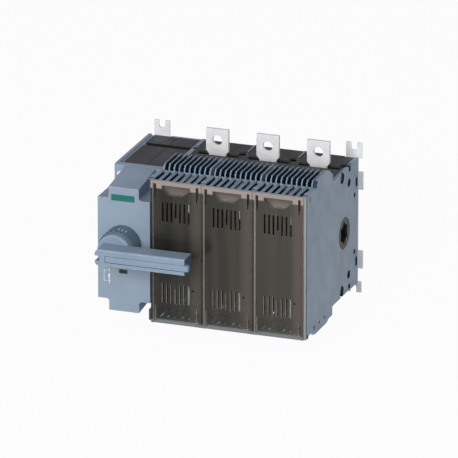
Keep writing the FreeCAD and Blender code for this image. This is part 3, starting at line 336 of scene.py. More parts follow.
@dataclass(frozen=True)
class MouldedPlastic:
    """A moulded plastic with fine grain, faint flow marks and an edge colour on its softened edges: rubbed
    and painted highlight where lighter, painted shadow where darker.
    """

    name: str
    colour: str
    shade: str
    edge: str
    roughness: float = 0.5
    grain: float = 0.45 * MM
    grain_depth: float = 0.02 * MM
    grain_strength: float = 0.6
    specular: float = 0.4
    clouds: Pattern = Pattern(38 * MM, 4.0)
    speckle_in_grains: float = 1.6
    speckle_ends: Span = (0.62, 0.85)
    speckle_share: float = 0.5
    wear_and_light_patches: Pattern = Pattern(6 * MM, 3.0, (0.35, 0.62))
    least_wear_and_light: float = 0.3
    flow: Pattern = Pattern(14 * MM, 5.0)
    flow_contrast: float = 0.07

    def build(self) -> bpy.types.Material:
        """Makes the material.

        Returns:
            The finished material.
        """
        shader = Shader(self.name)
        edge = paint(self.edge)
        body = shader.blend(self.clouds.values(shader), paint(self.shade), paint(self.colour))
        speckle = Pattern(self.grain * self.speckle_in_grains, 2.0, self.speckle_ends)
        body = shader.blend(speckle.values(shader, 0.0, self.speckle_share), body, edge)
        # Edge colour in patches on the softened faces: worn edges with painted highlight, painted shadow
        # where the edge colour is darker.
        share = shader.times(shader.wear_and_edge_light(), self.wear_and_light_patches.values(shader, self.least_wear_and_light))
        shader.set("Base Color", shader.blend(share, body, edge))
        shader.set("Roughness", self.flow.values(shader, self.roughness - self.flow_contrast,
                                                 self.roughness + self.flow_contrast))
        shader.set("Specular IOR Level", self.specular)
        shader.bump(shader.noise(self.grain, 2.0), self.grain_depth, self.grain_strength)
        return shader.material


@dataclass(frozen=True)
class CoverRow:
    """Where the row of fuse covers stands, for the patterns that follow each cover."""

    left: float
    pitch: float
    half_height: float


@dataclass(frozen=True)
class SmokeTint:
    """A smoke-tinted clear plastic, rosy to its right and clearer at its foot, with painted light: pale
    gathered light along its top, painted shade towards the left cover and a painted reflection towards the
    right one, and painted shade in its corner recesses.
    """

    name: str
    # Smoke and rosy tones at the left cover in painted shade, and at the right cover with a painted
    # reflection.
    colour: str
    reflecting_colour: str
    rosy: str
    reflecting_rosy: str
    light_band: str
    # The colour of the painted shade in each cover's corner recesses.
    corner: str
    lip: str
    row: CoverRow
    alpha: float
    foot_alpha: float
    band_height: float = 7.7 * MM
    band_alpha: float = 0.93
    foot_height: float = 21.0 * MM
    foot_fade: float = 7.2 * MM
    rosy_width: float = 10.5 * MM
    rosy_fade: Span = (-4.8 * MM, 2.4 * MM)
    corner_inset: Span = (3.4 * MM, 6.3 * MM)
    corner_reach: Span = (3.0 * MM, 15.0 * MM)
    lip_height: float = 3.2 * MM
    fade: float = 1.2 * MM
    shaded: float = 0.55
    streaks: Pattern = Pattern(9 * MM, 2.0, (0.42, 0.66), (1.0, 1.0, 0.06))
    streak_share: float = 0.35
    gloss: Pattern = Pattern(20 * MM, 4.0)
    roughness: Span = (0.09, 0.22)
    specular: float = 0.35
    ripple: Pattern = Pattern(12 * MM, 1.0)
    ripple_depth: float = 0.05 * MM
    ripple_strength: float = 0.25

    def build(self) -> bpy.types.Material:
        """Makes the material.

        Returns:
            The finished material.
        """
        shader = Shader(self.name)
        height = shader.along("Z")
        half = self.row.half_height
        across = shader.math("MODULO", shader.math("SUBTRACT", shader.along("X"), self.row.left),
                             self.row.pitch)
        lip_top = self.lip_height - half
        lip = shader.spread(height, (lip_top, lip_top + self.fade), (1.0, 0.0))
        band_foot = half - self.band_height
        # Painted light: a pale strip of light gathered along the top of each cover.
        light_band = shader.spread(height, (band_foot - self.fade, band_foot), (0.0, 1.0))
        body = shader.blend(lip, self.tint(shader, across), paint(self.lip))
        body = shader.blend(light_band, body, paint(self.light_band))
        shader.set("Base Color", shader.blend(self.corner_shades(shader, across, height), body,
                                              paint(self.corner)))
        foot_top = self.foot_height - half
        foot = shader.spread(height, (foot_top - self.foot_fade, foot_top), (self.foot_alpha, self.alpha))
        ends = shader.math("MULTIPLY", shader.math("MAXIMUM", light_band, lip), self.band_alpha)
        shade = shader.spread(shader.ray("Is Shadow Ray"), (0.0, 1.0), (1.0, self.shaded))
        shader.set("Alpha", shader.times(shader.math("MAXIMUM", foot, ends), shade))
        shader.set("Roughness", self.gloss.values(shader, *self.roughness))
        shader.set("Specular IOR Level", self.specular)
        shader.bump(self.ripple.height(shader), self.ripple_depth, self.ripple_strength)
        return shader.material

    def tint(self, shader: Shader, across: bpy.types.NodeSocket) -> bpy.types.NodeSocket:
        """The smoke colour, which warms in streaks and to each cover's right, and lightens from painted
        shade at the left cover to a painted reflection at the right one.

        Args:
            shader: The material in the making.
            across: The distance from each cover's left side.

        Returns:
            The colour.
        """
        # Painted shade of the lever at the left cover, turning to a painted reflection at the right cover.
        shade_to_reflection = shader.spread(shader.along("X"), (self.row.left, self.row.left + POLES * self.row.pitch),
                            (0.0, 1.0))
        body = shader.blend(shade_to_reflection, paint(self.colour), paint(self.reflecting_colour))
        blush = shader.blend(shade_to_reflection, paint(self.rosy), paint(self.reflecting_rosy))
        body = shader.blend(self.streaks.values(shader, 0.0, self.streak_share), body, blush)
        right = self.row.pitch - self.rosy_width
        side = shader.spread(across, (right + self.rosy_fade[0], right + self.rosy_fade[1]), (0.0, 1.0))
        return shader.blend(side, body, blush)

    def corner_shades(self, shader: Shader, across: bpy.types.NodeSocket,
                height: bpy.types.NodeSocket) -> bpy.types.NodeSocket:
        """The painted shade in each cover's four corner recesses.

        Args:
            shader: The material in the making.
            across: The distance from each cover's left side.
            height: The height above the cover's middle.

        Returns:
            1 on the painted shade and 0 elsewhere.
        """
        middle = self.row.pitch / 2
        off_middle = shader.math("ABSOLUTE", shader.math("SUBTRACT", across, middle))
        from_side = shader.math("SUBTRACT", middle, off_middle)
        from_end = shader.math("SUBTRACT", self.row.half_height, shader.math("ABSOLUTE", height))
        return shader.times(shader.within(from_side, *self.corner_inset),
                            shader.within(from_end, *self.corner_reach))


@dataclass(frozen=True)
class PaleEdge:
    """Painted light gathered in the edges of a clear plastic: pale, nearly opaque, a little uneven, and of
    another tone towards its foot.
    """

    name: str
    colour: str
    dull: str
    lower_tone: str
    alpha: float = 0.9
    fade: Span = (30.0 * MM, -30.0 * MM)
    patches: Pattern = Pattern(16 * MM, 4.0, (0.35, 0.65), (1.0, 1.0, 0.25))
    gloss: Pattern = Pattern(5 * MM)
    roughness: Span = (0.2, 0.34)
    ripple: Pattern = Pattern(3 * MM, 2.0)
    ripple_depth: float = 0.02 * MM
    ripple_strength: float = 0.3

    def build(self) -> bpy.types.Material:
        """Makes the material.

        Returns:
            The finished material.
        """
        shader = Shader(self.name)
        body = shader.blend(self.patches.values(shader), paint(self.dull), paint(self.colour))
        # Towards the foot: painted shade on edges and recesses, a painted highlight on the lower vent
        # slits.
        lower_share = shader.spread(shader.along("Z"), self.fade, (0.0, 1.0))
        shader.set("Base Color", shader.blend(lower_share, body, paint(self.lower_tone)))
        shader.set("Alpha", self.alpha)
        shader.set("Roughness", self.gloss.values(shader, *self.roughness))
        shader.bump(self.ripple.height(shader), self.ripple_depth, self.ripple_strength)
        return shader.material


@dataclass(frozen=True)
class PlatedMetal:
    """A plated or bare metal with brushed lines, dull patches and brighter worn edges that carry a painted
    glint.
    """

    name: str
    colour: str
    dull: str
    edge: str
    roughness: float
    metal: float
    brushed: Triple = (1.0, 1.0, 1.0)
    flakes: float = 0.0
    flake_share: float = 0.35
    patches: Pattern = Pattern(7 * MM, 4.0, (0.35, 0.65))
    line_size: float = 0.8 * MM
    line_gloss: Span = (-0.08, 0.1)
    line_depth: float = 0.01 * MM
    line_strength: float = 0.5

    def build(self) -> bpy.types.Material:
        """Makes the material.

        Returns:
            The finished material.
        """
        shader = Shader(self.name)
        dull = paint(self.dull)
        body = shader.blend(self.patches.values(shader), dull, paint(self.colour))
        if self.flakes:
            spangle = shader.spread(shader.cells(self.flakes), (0.0, 1.0), (0.0, self.flake_share))
            body = shader.blend(spangle, body, dull)
        # Painted glint: the softened edges take the brighter edge colour.
        shader.set("Base Color", shader.blend(shader.wear_and_edge_light(), body, paint(self.edge)))
        shader.set("Metallic", self.metal)
        lines = Pattern(self.line_size, stretch=self.brushed)
        shine, drag = self.line_gloss
        shader.set("Roughness", lines.values(shader, self.roughness + shine, self.roughness + drag))
        shader.bump(lines.height(shader), self.line_depth, self.line_strength)
        return shader.material


class Finishes:
    """Every finish of the switch, made once and handed to the pieces."""

    def __init__(self, row: CoverRow) -> None:
        """Makes the materials.

        Args:
            row: Where the fuse covers stand.
        """
        self.housing = MouldedPlastic("housing_plastic", "93A3B5", "8998AA", "B3C0CF").build()
        # The fins' pale edge colour is a painted highlight on their worn front edges.
        self.fins = MouldedPlastic("fin_plastic", "8496AB", "768AA0", "C2D2E1").build()
        self.deck = MouldedPlastic("deck_plastic", "454547", "3C3C3D", "5A5A5B", 0.55).build()
        self.collar = MouldedPlastic("collar_plastic", "5E7184", "55687B", "7C8EA0", 0.42).build()
        self.lever = MouldedPlastic("lever_plastic", "8698AB", "7B8EA2", "B0C2D3", 0.4).build()
        self.lever_end = MouldedPlastic("lever_end_plastic", "4A6075", "42576B", "6B8196", 0.45).build()
        # The slide's darker edge colour is a painted shadow in the gaps around it.
        self.slide = MouldedPlastic("slide_plastic", "8799AC", "7D90A4", "51667B", 0.38).build()
        self.drum = MouldedPlastic("drum_plastic", "2A2B2E", "232427", "45474A", 0.5).build()
        self.window = MouldedPlastic("window_plastic", "17191C", "101113", "2A2D31", 0.18,
                                     0.3 * MM, 0.004 * MM).build()
        self.plate = MouldedPlastic("plate_enamel", "0A7066", "09675E", "2E8F82", 0.35).build()
        self.ink = MouldedPlastic("marking_ink", "E9EDF2", "DFE4EA", "F4F6F8", 0.6).build()
        # Dark grey of the compartment walls, deepened as painted shade inside the fuse compartments.
        self.lining_and_shade = MouldedPlastic("lining_and_shade_plastic", "363534", "2E2D2C", "454443", 0.6).build()
        # Near black: painted shade in the channels across the drive lids.
        self.channel = MouldedPlastic("channel_shade_plastic", "141416", "0F0F10", "1F1F21", 0.6).build()
        # Dark navy: painted shade between fins, in holes, on plate front edges and in the lever's channel.
        self.gap = MouldedPlastic("gap_shade_plastic", "2A3D54", "223348", "3A4E66", 0.65).build()
        self.cover_sheet = SmokeTint("smoke_sheet", "22211D", "43413B", "44423C", "5D524C", "9C908A",
                                     "3A2C26", "74787A", row, 0.76, 0.62).build()
        # Painted light gathered in the covers' side faces and finger recesses, darker towards their foot.
        self.cover_edge_light = PaleEdge("smoke_edge_light", "A9A399", "8F897F", "7C776E").build()
        grip_fade = (row.half_height - 17 * MM, row.half_height - 6 * MM)
        self.cover_grip_light = PaleEdge("smoke_grip_light", "8E857C", "827A71", "4C4843", 0.88, grip_fade).build()
        # Painted highlight on the walls of the lower vent slits; the upper slits stay darker.
        slit_highlight_fade = (2.0 * MM, -2.0 * MM)
        self.cover_slit_highlight = PaleEdge("smoke_slit_highlight", "57534C", "4A4740", "F2EEE4", 1.0, slit_highlight_fade).build()
        # Painted highlight strips along each cover's left frame, lighter from the left cover to the right
        # one.
        self.highlight_strips = [PaleEdge(f"smoke_highlight_strip_{place}", colour, dull, lower_tone, 0.96).build()
                       for place, colour, dull, lower_tone in (("left", "66665F", "595954", "5E5E58"),
                                                        ("middle", "86837C", "787570", "807D76"),
                                                        ("right", "989284", "878275", "8D887B"))]
        # Painted highlight along the last cover's right edge.
        self.highlight_lip = PaleEdge("smoke_highlight_lip", "989C9B", "8B8F8E", "8F9392", 0.94).build()
        self.tin = PlatedMetal("tinned_copper", "F4F4F5", "EAEAEC", "FAFAFA", 0.5, 0.1,
                               (1.0, 1.0, 0.1)).build()
        # Silvered copper darkened as painted shade inside the compartments; its brighter edges are a
        # painted glint.
        self.silver = PlatedMetal("silvered_copper", "8A877F", "716E67", "F1EEE6", 0.35, 0.6,
                                  (1.0, 0.1, 1.0)).build()
        # Painted glint on the jaws' faces towards the covers.
        self.blade = PlatedMetal("silvered_edge_glint", "F4F1E8", "E2DED2", "FBF9F2", 0.3, 0.15,
                                 (1.0, 1.0, 0.1)).build()
        self.copper = PlatedMetal("bare_copper", "C07A55", "A96A49", "D08A65", 0.35, 0.9,
                                  (0.1, 1.0, 1.0)).build()
        self.steel = PlatedMetal("bare_steel", "A9ABAE", "939598", "C2C4C6", 0.38, 0.9,
                                 (1.0, 1.0, 0.2)).build()
        self.zinc = PlatedMetal("zinc_sheet", "F2F2F3", "E6E7E9", "FBFBFB", 0.5, 0.08,
                                flakes=6 * MM).build()


class Workpiece:
    """One piece in the making: a bmesh that ends as an object at the origin."""

    def __init__(self, name: str) -> None:
        """Starts an empty piece.

        Args:
            name: The piece's name.
        """
        self.name = name
        self.mesh = bmesh.new()
        self.mesh.faces.layers.float.new(WEAR_AND_EDGE_LIGHT_LAYER)

    def take_node(self, node: str) -> None:
        """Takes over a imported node: its loose triangles merged, its flat ones joined.

        Args:
            node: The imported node.
        """
        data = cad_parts[node].data
        self.mesh.from_mesh(data)
        bmesh.ops.remove_doubles(self.mesh, verts=self.mesh.verts, dist=MERGE_DISTANCE)
        bmesh.ops.dissolve_limit(self.mesh, angle_limit=FLAT_ANGLE, verts=self.mesh.verts,
                                 edges=self.mesh.edges, delimit={"NORMAL"})

    def soften(self, width: float) -> None:
        """Rounds the sharp outer edges and marks the new faces for the edge colour: worn edges with painted
        highlight and shadow.

        Args:
            width: The rounding's width in metres.
        """
        sharp = [e for e in self.mesh.edges
                 if e.is_manifold and e.is_convex and e.calc_face_angle() > SHARP_ANGLE]
        made = bmesh.ops.bevel(self.mesh, geom=sharp, affect="EDGES", offset=width,
                               offset_type="OFFSET", segments=EDGE_FACETS, profile=0.5, material=-1,
                               clamp_overlap=True)
        wear_and_edge_light = self.mesh.faces.layers.float[WEAR_AND_EDGE_LIGHT_LAYER]
        for face in made["faces"]:
            face[wear_and_edge_light] = 1.0

    def colour_faces(self, index: int, test: FaceTest) -> None:
        """Gives some faces another of the piece's materials.

        Args:
            index: The material's place in the piece.
            test: Says whether a face is one of them.
        """
        for face in self.mesh.faces:
            if test(face):
                face.material_index = index

    def colour_gaps(self, index: int, reach: float, left: float = -math.inf) -> None:
        """Gives another material to faces that look at each other across a narrow gap.

        Args:
            index: The material's place in the piece.
            reach: The widest gap in metres.
            left: Faces left of this keep their finish.
        """
        tree = BVHTree.FromBMesh(self.mesh)
        for face in self.mesh.faces:
            start = face.calc_center_median() + face.normal * MERGE_DISTANCE
            if start.x > left and tree.ray_cast(start, face.normal, reach)[0] is not None:
                face.material_index = index

    def bar(self, size: Sequence[float], centre: Sequence[float],
            index: int = 0) -> list[bmesh.types.BMVert]:
        """Adds a rectangular bar.

        Args:
            size: Its length along X, Y and Z.
            centre: The place of its middle.
            index: Its material's place in the piece.

        Returns:
            The bar's vertices.
        """
        place = Matrix.Translation(Vector(centre)) @ Matrix.Diagonal(Vector((*size, 1.0)))
        verts = bmesh.ops.create_cube(self.mesh, size=1.0, matrix=place)["verts"]
        for face in {face for vert in verts for face in vert.link_faces}:
            face.material_index = index
        return verts

    def finish(self, body: Body, materials: Iterable[bpy.types.Material],
               replaced: Sequence[str] = ()) -> bpy.types.Object:
        """Turns the bmesh into an object that rides on its body.

        Args:
            body: The body it rides on.
            materials: The materials, in order of their index.
            replaced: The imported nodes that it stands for.

        Returns:
            The finished object.
        """
        for face in self.mesh.faces:
            face.smooth = True
        for edge in self.mesh.edges:
            edge.smooth = not edge.is_manifold or edge.calc_face_angle() < SMOOTH_ANGLE
        data = bpy.data.meshes.new(self.name)
        self.mesh.to_mesh(data)
        self.mesh.free()
        for material in materials:
            data.materials.append(material)
        piece = bpy.data.objects.new(self.name, data)
        bpy.context.scene.collection.objects.link(piece)
        weighted = piece.modifiers.new("even_shading", "WEIGHTED_NORMAL")
        weighted.keep_sharp = True
        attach(piece, body.value)
        if replaced:
            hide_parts(*replaced)
        log.info("%s rides on %s", self.name, body.value)
        return piece


def take_over(node: str, name: str, body: Body, material: bpy.types.Material,
              width: float = EDGE_ROUND) -> bpy.types.Object:
    """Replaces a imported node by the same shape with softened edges.

    Args:
        node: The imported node.
        name: The new piece's name.
        body: The body it rides on.
        material: Its finish.
        width: The rounding of its edges in metres.

    Returns:
        The new piece.
    """
    piece = Workpiece(name)
    piece.take_node(node)
    piece.soften(width)
    return piece.finish(body, [material], [node])


def dress(node: str, material: bpy.types.Material) -> None:
    """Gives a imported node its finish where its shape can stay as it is.

    Args:
        node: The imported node.
        material: Its finish.
    """
    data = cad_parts[node].data
    data.materials.clear()
    data.materials.append(material)
    log.info("%s keeps its packed shape", node)


@dataclass
class DriveUnit:
    """The drive on the left with its caps, window, collar and markings."""

    finishes: Finishes
    front_round: float = 0.5 * MM
    collar_round: float = 0.3 * MM
    plate_width: float = 25.8 * MM
    plate_height: float = 7.0 * MM
    plate_thick: float = 0.35 * MM
    plate_below_caps: float = 19.0 * MM
    plate_from_left: float = 15.5 * MM
    plate_rim: float = 0.6 * MM
    plate_sink: float = 0.15 * MM
    plate_round: float = 0.12 * MM
    symbol_from_left: float = 7.0 * MM
    symbol_above_window_foot: float = 4.0 * MM
    symbol_height: float = 16.0 * MM
    symbol_gap: float = 5.6 * MM
    stroke: float = 0.9 * MM
    ink_thick: float = 0.06 * MM
    channel_depth: float = 2.0 * MM
    tick_turns: tuple[float, ...] = (2.0, 13.0, 24.0)
    tick_size: Triple = (0.8 * MM, 4.0 * MM, 0.3 * MM)
    tick_from_front: float = 7.0 * MM
    frontwards: float = 0.9
    sidewards: float = 0.5

    def build(self) -> None:
        """Builds every piece of the drive."""
        self.mouldings()
        self.name_plate()
        self.circuit_symbol()
        self.collar_marks()
        for node in ("handle_spindle", "spindle_gear", "shaft_gear", "gear_frame"):
            dress(node, self.finishes.steel)
        dress("drive_screws", self.finishes.zinc)
        dress("drive_shaft", self.finishes.drum)

    def mouldings(self) -> None:
        """The moulded shells, caps, window and collar."""
        home = Body.HOUSING
        take_over("drive_housing", "drive_box", home, self.finishes.housing)
        take_over("drive_front_cover", "drive_front", home, self.finishes.housing,
                  self.front_round)
        for side in ("left", "right"):
            self.lid(side)
        take_over("position_window", "window_pane", home, self.finishes.window)
        take_over("handle_collar", "ticked_collar", home, self.finishes.collar,
                  self.collar_round)

    def lid(self, side: str) -> None:
        """A dark lid with near-black painted shade in the channel across it.

        Args:
            side: Which of the two lids, left or right.
        """
        node = f"drive_cap_{side}"
        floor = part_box(node)[1].z - self.channel_depth
        piece = Workpiece(f"drive_lid_{side}")
        piece.take_node(node)
        # Painted shade: the channel's walls and floor take the near-black finish.
        piece.colour_faces(SECOND, lambda face: (abs(face.normal.x) < self.sidewards
                                                 and face.calc_center_median().z < floor))
        piece.soften(EDGE_ROUND)
        piece.finish(Body.HOUSING, [self.finishes.deck, self.finishes.channel], [node])

    def name_plate(self) -> None:
        """A bare plate with a narrow raised rim."""
        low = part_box("drive_front_cover")[0]
        caps_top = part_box("drive_cap_left")[1].z
        centre = (low.x + self.plate_from_left + self.plate_width / 2, low.y - self.plate_thick / 2,
                  caps_top - self.plate_below_caps)
        piece = Workpiece("name_plate")
        piece.bar((self.plate_width, self.plate_thick, self.plate_height), centre)
        front = [face for face in piece.mesh.faces if face.normal.y < -self.frontwards]
        rim = bmesh.ops.inset_region(piece.mesh, faces=front, thickness=self.plate_rim, depth=0.0)["faces"]
        field = [face for face in piece.mesh.faces if face.normal.y < -self.frontwards and face not in rim]
        for face in field:
            for vert in face.verts:
                vert.co.y += self.plate_sink
        piece.soften(self.plate_round)
        piece.finish(Body.HOUSING, [self.finishes.plate])

    def circuit_symbol(self) -> None:
        """A plain circuit pictogram: a bent lead beside a line with a fuse on it.

        Each stroke has its width and height, then how far its middle lies right of the lead and
        below the symbol's top.
        """
        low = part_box("drive_front_cover")[0]
        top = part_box("position_window")[0].z + self.symbol_above_window_foot
        left = low.x + self.symbol_from_left
        front = low.y - self.ink_thick / 2
        line, gap, height = self.stroke, self.symbol_gap, self.symbol_height
        strokes = {"lead": ((line * 0.6, height * 0.72), (0.0, height * 0.5)),
                   "upper_arm": ((gap * 0.5, line * 0.6), (gap * 0.25, height * 0.14)),
                   "lower_arm": ((gap * 0.5, line * 0.6), (gap * 0.25, height * 0.86)),
                   "line": ((line, height * 0.18), (gap, height * 0.09)),
                   "fuse": ((line * 2.0, height * 0.3), (gap, height * 0.5)),
                   "lower_line": ((line, height * 0.12), (gap, height * 0.74)),
                   "contact": ((line * 3.2, line * 0.7), (gap, height * 0.84)),
                   "foot": ((line * 0.8, height * 0.16), (gap, height * 0.96))}
        piece = Workpiece("circuit_symbol")
        for (width, tall), (across, down) in strokes.values():
            piece.bar((width, self.ink_thick, tall), (left + across, front, top - down))
        piece.finish(Body.HOUSING, [self.finishes.ink])

    def collar_marks(self) -> None:
        """Short raised marks on the collar's rim, to the right of its top."""
        low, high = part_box("handle_collar")
        middle = Vector(((low.x + high.x) / 2, low.y + self.tick_from_front, (low.z + high.z) / 2))
        radius = (high.x - low.x) / 2
        piece = Workpiece("collar_marks")
        for turn in self.tick_turns:
            verts = piece.bar(self.tick_size, (0.0, 0.0, radius))
            bmesh.ops.rotate(piece.mesh, verts=verts, cent=(0.0, 0.0, 0.0),
                             matrix=Matrix.Rotation(math.radians(turn), 3, "Y"))
            bmesh.ops.translate(piece.mesh, verts=verts, vec=middle)
        piece.finish(Body.HOUSING, [self.finishes.ink])


@dataclass
class Lever:
    """The rotary lever with its padlock slide."""

    finishes: Finishes
    channel_width: float = 11.0 * MM
    tip_length: float = 14.0 * MM
    end_depth: float = 9.0 * MM
    endwards: float = 0.6
    grip_round: float = 0.3 * MM
    slide_round: float = 0.25 * MM

    def build(self) -> None:
        """Builds the lever and its slide."""
        low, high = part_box("handle_lever")
        end = high.x - self.end_depth
        piece = Workpiece("lever_grip")
        piece.take_node("handle_lever")
        # Painted shade on faces that look at each other across the lever's channel, right of its tip.
        piece.colour_gaps(SECOND, self.channel_width, low.x + self.tip_length)
        piece.colour_faces(THIRD, lambda face: (face.normal.x > self.endwards
                                                and face.calc_center_median().x > end))
        piece.soften(self.grip_round)
        piece.finish(Body.LEVER,
                     [self.finishes.lever, self.finishes.gap, self.finishes.lever_end], ["handle_lever"])
        take_over("padlock_slide", "padlock_bolt", Body.PADLOCK_BAR,
                  self.finishes.slide, self.slide_round)


@dataclass
class Frame:
    """The plates, brackets and rods that hold the poles together."""

    finishes: Finishes
    widest_hole: float = 13.0 * MM
    sidewards: float = 0.9
    frontwards: float = 0.6
    plate_round: float = 0.3 * MM
    bracket_round: float = 0.2 * MM

    def build(self) -> None:
        """Builds the plates and brackets."""
        self.plate("end_plate_left", lambda face: face.normal.x > self.sidewards)
        self.plate("end_plate_right", lambda face: face.normal.x < -self.sidewards)
        for number in range(1, POLES):
            self.plate(f"partition_{number}", lambda face: abs(face.normal.x) > self.sidewards)
        for side in ("left", "right"):
            take_over(f"mounting_bracket_{side}", f"wall_bracket_{side}", Body.HOUSING,
                      self.finishes.zinc, self.bracket_round)
        dress("tie_rods", self.finishes.steel)

    def plate(self, node: str, inner: FaceTest) -> None:
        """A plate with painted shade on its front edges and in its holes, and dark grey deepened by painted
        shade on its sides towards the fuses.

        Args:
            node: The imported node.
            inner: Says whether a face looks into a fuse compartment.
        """
        piece = Workpiece(f"{node}_shell")
        piece.take_node(node)
        # Dark grey with painted shade on the faces inside the fuse compartments.
        piece.colour_faces(SECOND, inner)
        # Painted shade on the plate's front edges and in its holes.
        piece.colour_faces(THIRD, lambda face: face.normal.y < -self.frontwards)
        piece.colour_gaps(THIRD, self.widest_hole)
        piece.soften(self.plate_round)
        piece.finish(Body.HOUSING,
                     [self.finishes.housing, self.finishes.lining_and_shade, self.finishes.gap], [node])


@dataclass
class Pole:
    """One pole: its chamber, contacts, terminals, jaws, grilles and cover."""

    finishes: Finishes
    number: int
    fin_gap: float = 6.0 * MM
    vent_gap: float = 2.4 * MM
    # The painted highlight strip along each cover's left frame.
    highlight_strip_from_left: float = 2.6 * MM
    highlight_strip_width: float = 1.5 * MM
    highlight_strip_proud: float = 0.5 * MM
    lip_reach: float = 2.9 * MM
    lip_clearance: float = 0.3 * MM
    sheet_setback: float = 0.6 * MM
    grip_setback: float = 4.0 * MM
    grip_zone: float = 20.0 * MM
    grip_from_top: float = 1.0 * MM
    frontwards: float = 0.8
    jaw_frontwards: float = 0.5
    grip_upwards: float = 0.3
    lug_round: float = 0.25 * MM
    grille_round: float = 0.2 * MM
    cover_round: float = 0.2 * MM
    jaw_round: float = 0.15 * MM

    def build(self) -> None:
        """Builds every piece of the pole."""
        n = self.number
        for half in ("front", "rear"):
            take_over(f"chamber_{half}_{n}", f"arc_chamber_{half}_{n}", Body.HOUSING,
                      self.finishes.deck)
        for side in ("line", "load"):
            take_over(f"{side}_terminal_{n}", f"{side}_lug_{n}", Body.HOUSING,
                      self.finishes.tin, self.lug_round)
        for end in ("top", "bottom"):
            self.jaw(end)
            self.grille(end)
        take_over(f"contact_drum_{n}", f"shaft_drum_{n}", Body.SWITCH_SHAFT,
                  self.finishes.drum)
        dress(f"contact_bars_{n}", self.finishes.copper)
        dress(f"splitter_plates_{n}", self.finishes.steel)
        self.cover()

    def jaw(self, end: str) -> None:
        """A fuse jaw with a painted glint on its blade edges towards the cover.

        Args:
            end: Which of the two jaws, top or bottom.
        """
        node = f"fuse_jaw_{end}_{self.number}"
        piece = Workpiece(f"contact_jaw_{end}_{self.number}")
        piece.take_node(node)
        # Painted glint on the faces towards the cover.
        piece.colour_faces(SECOND, lambda face: face.normal.y < -self.jaw_frontwards)
        piece.soften(self.jaw_round)
        piece.finish(Body.HOUSING, [self.finishes.silver, self.finishes.blade],
                     [node])

    def grille(self, end: str) -> None:
        """A finned grille with painted shade in the gaps between its fins.

        Args:
            end: Which of the two grilles, top or bottom.
        """
        node = f"vent_grille_{end}_{self.number}"
        piece = Workpiece(f"finned_vent_{end}_{self.number}")
        piece.take_node(node)
        # Painted shade between the fins.
        piece.colour_gaps(SECOND, self.fin_gap)
        piece.soften(self.grille_round)
        piece.finish(Body.HOUSING, [self.finishes.fins, self.finishes.gap], [node])

    def cover(self) -> None:
        """The see-through cover: its sheet dark and open, its edges, finger recess and lower slits pale
        with painted light that they gather, and a painted highlight strip along its left frame.
        """
        node = f"fuse_cover_{self.number}"
        low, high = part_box(node)
        piece = Workpiece(f"smoke_cover_{self.number}")
        piece.take_node(node)
        # Painted light in the cover's side faces and finger recess.
        piece.colour_faces(CoverFinish.EDGE_LIGHT, lambda face: abs(face.normal.y) < self.frontwards)
        piece.colour_faces(CoverFinish.GRIP_LIGHT, lambda face: self.in_grip(face, low, high))
        # Painted highlight on the lower slits' walls.
        piece.colour_gaps(CoverFinish.SLIT_HIGHLIGHT, self.vent_gap)
        piece.soften(self.cover_round)
        front = low.y + self.sheet_setback
        # A thin pale strip that stands for a painted highlight along the cover's left frame.
        piece.bar((self.highlight_strip_width, self.highlight_strip_proud, high.z - low.z),
                  (low.x + self.highlight_strip_from_left, front - self.highlight_strip_proud / 2, 0.0), CoverFinish.HIGHLIGHT_STRIP)
        if self.number == POLES:
            self.highlight_lip(piece, high)
        finishes = self.finishes
        piece.finish(Body(f"cover_{self.number}"),
                     [finishes.cover_sheet, finishes.cover_edge_light, finishes.cover_grip_light, finishes.cover_slit_highlight,
                      finishes.highlight_strips[self.number - 1], finishes.highlight_lip], [node])

    def highlight_lip(self, piece: Workpiece, high: Vector) -> None:
        """The last cover's lip, a pale painted highlight that laps over the front edge of the end plate.

        Args:
            piece: The cover in the making.
            high: The cover's highest corner.
        """
        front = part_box("end_plate_right")[0].y - self.lip_clearance
        middle = high.x + self.lip_reach / 2 - self.lip_clearance
        piece.bar((self.lip_reach, self.highlight_strip_proud, 2 * high.z), (middle, front - self.highlight_strip_proud / 2, 0.0),
                  CoverFinish.HIGHLIGHT_LIP)

    def in_grip(self, face: bmesh.types.BMFace, low: Vector, high: Vector) -> bool:
        """Whether a face of the cover belongs to its finger recess.

        Args:
            face: The face.
            low: The cover's lowest corner.
            high: The cover's highest corner.

        Returns:
            True for the recess's floor and its slanted foot.
        """
        centre = face.calc_center_median()
        behind = low.y + self.grip_setback
        floor = centre.y > behind and face.normal.y < -self.frontwards
        foot = centre.y < behind and face.normal.z > self.grip_upwards
        return high.z - self.grip_zone < centre.z < high.z - self.grip_from_top and (floor or foot)


@dataclass(frozen=True)
class SoftLamp:
    """A square studio lamp: its place in metres, its side in metres and its power in watts."""

    name: str
    place: Triple
    size: float
    power: float

    def hang(self, aim: Triple) -> None:
        """Hangs the lamp and turns it to the object.

        Args:
            aim: The point that it shines at.
        """
        data = bpy.data.lights.new(self.name, "AREA")
        data.size = self.size
        data.energy = self.power
        lamp = bpy.data.objects.new(self.name, data)
        bpy.context.scene.collection.objects.link(lamp)
        lamp.location = self.place
        lamp.rotation_mode = "QUATERNION"
        lamp.rotation_quaternion = (Vector(aim) - Vector(self.place)).to_track_quat("-Z", "Y")


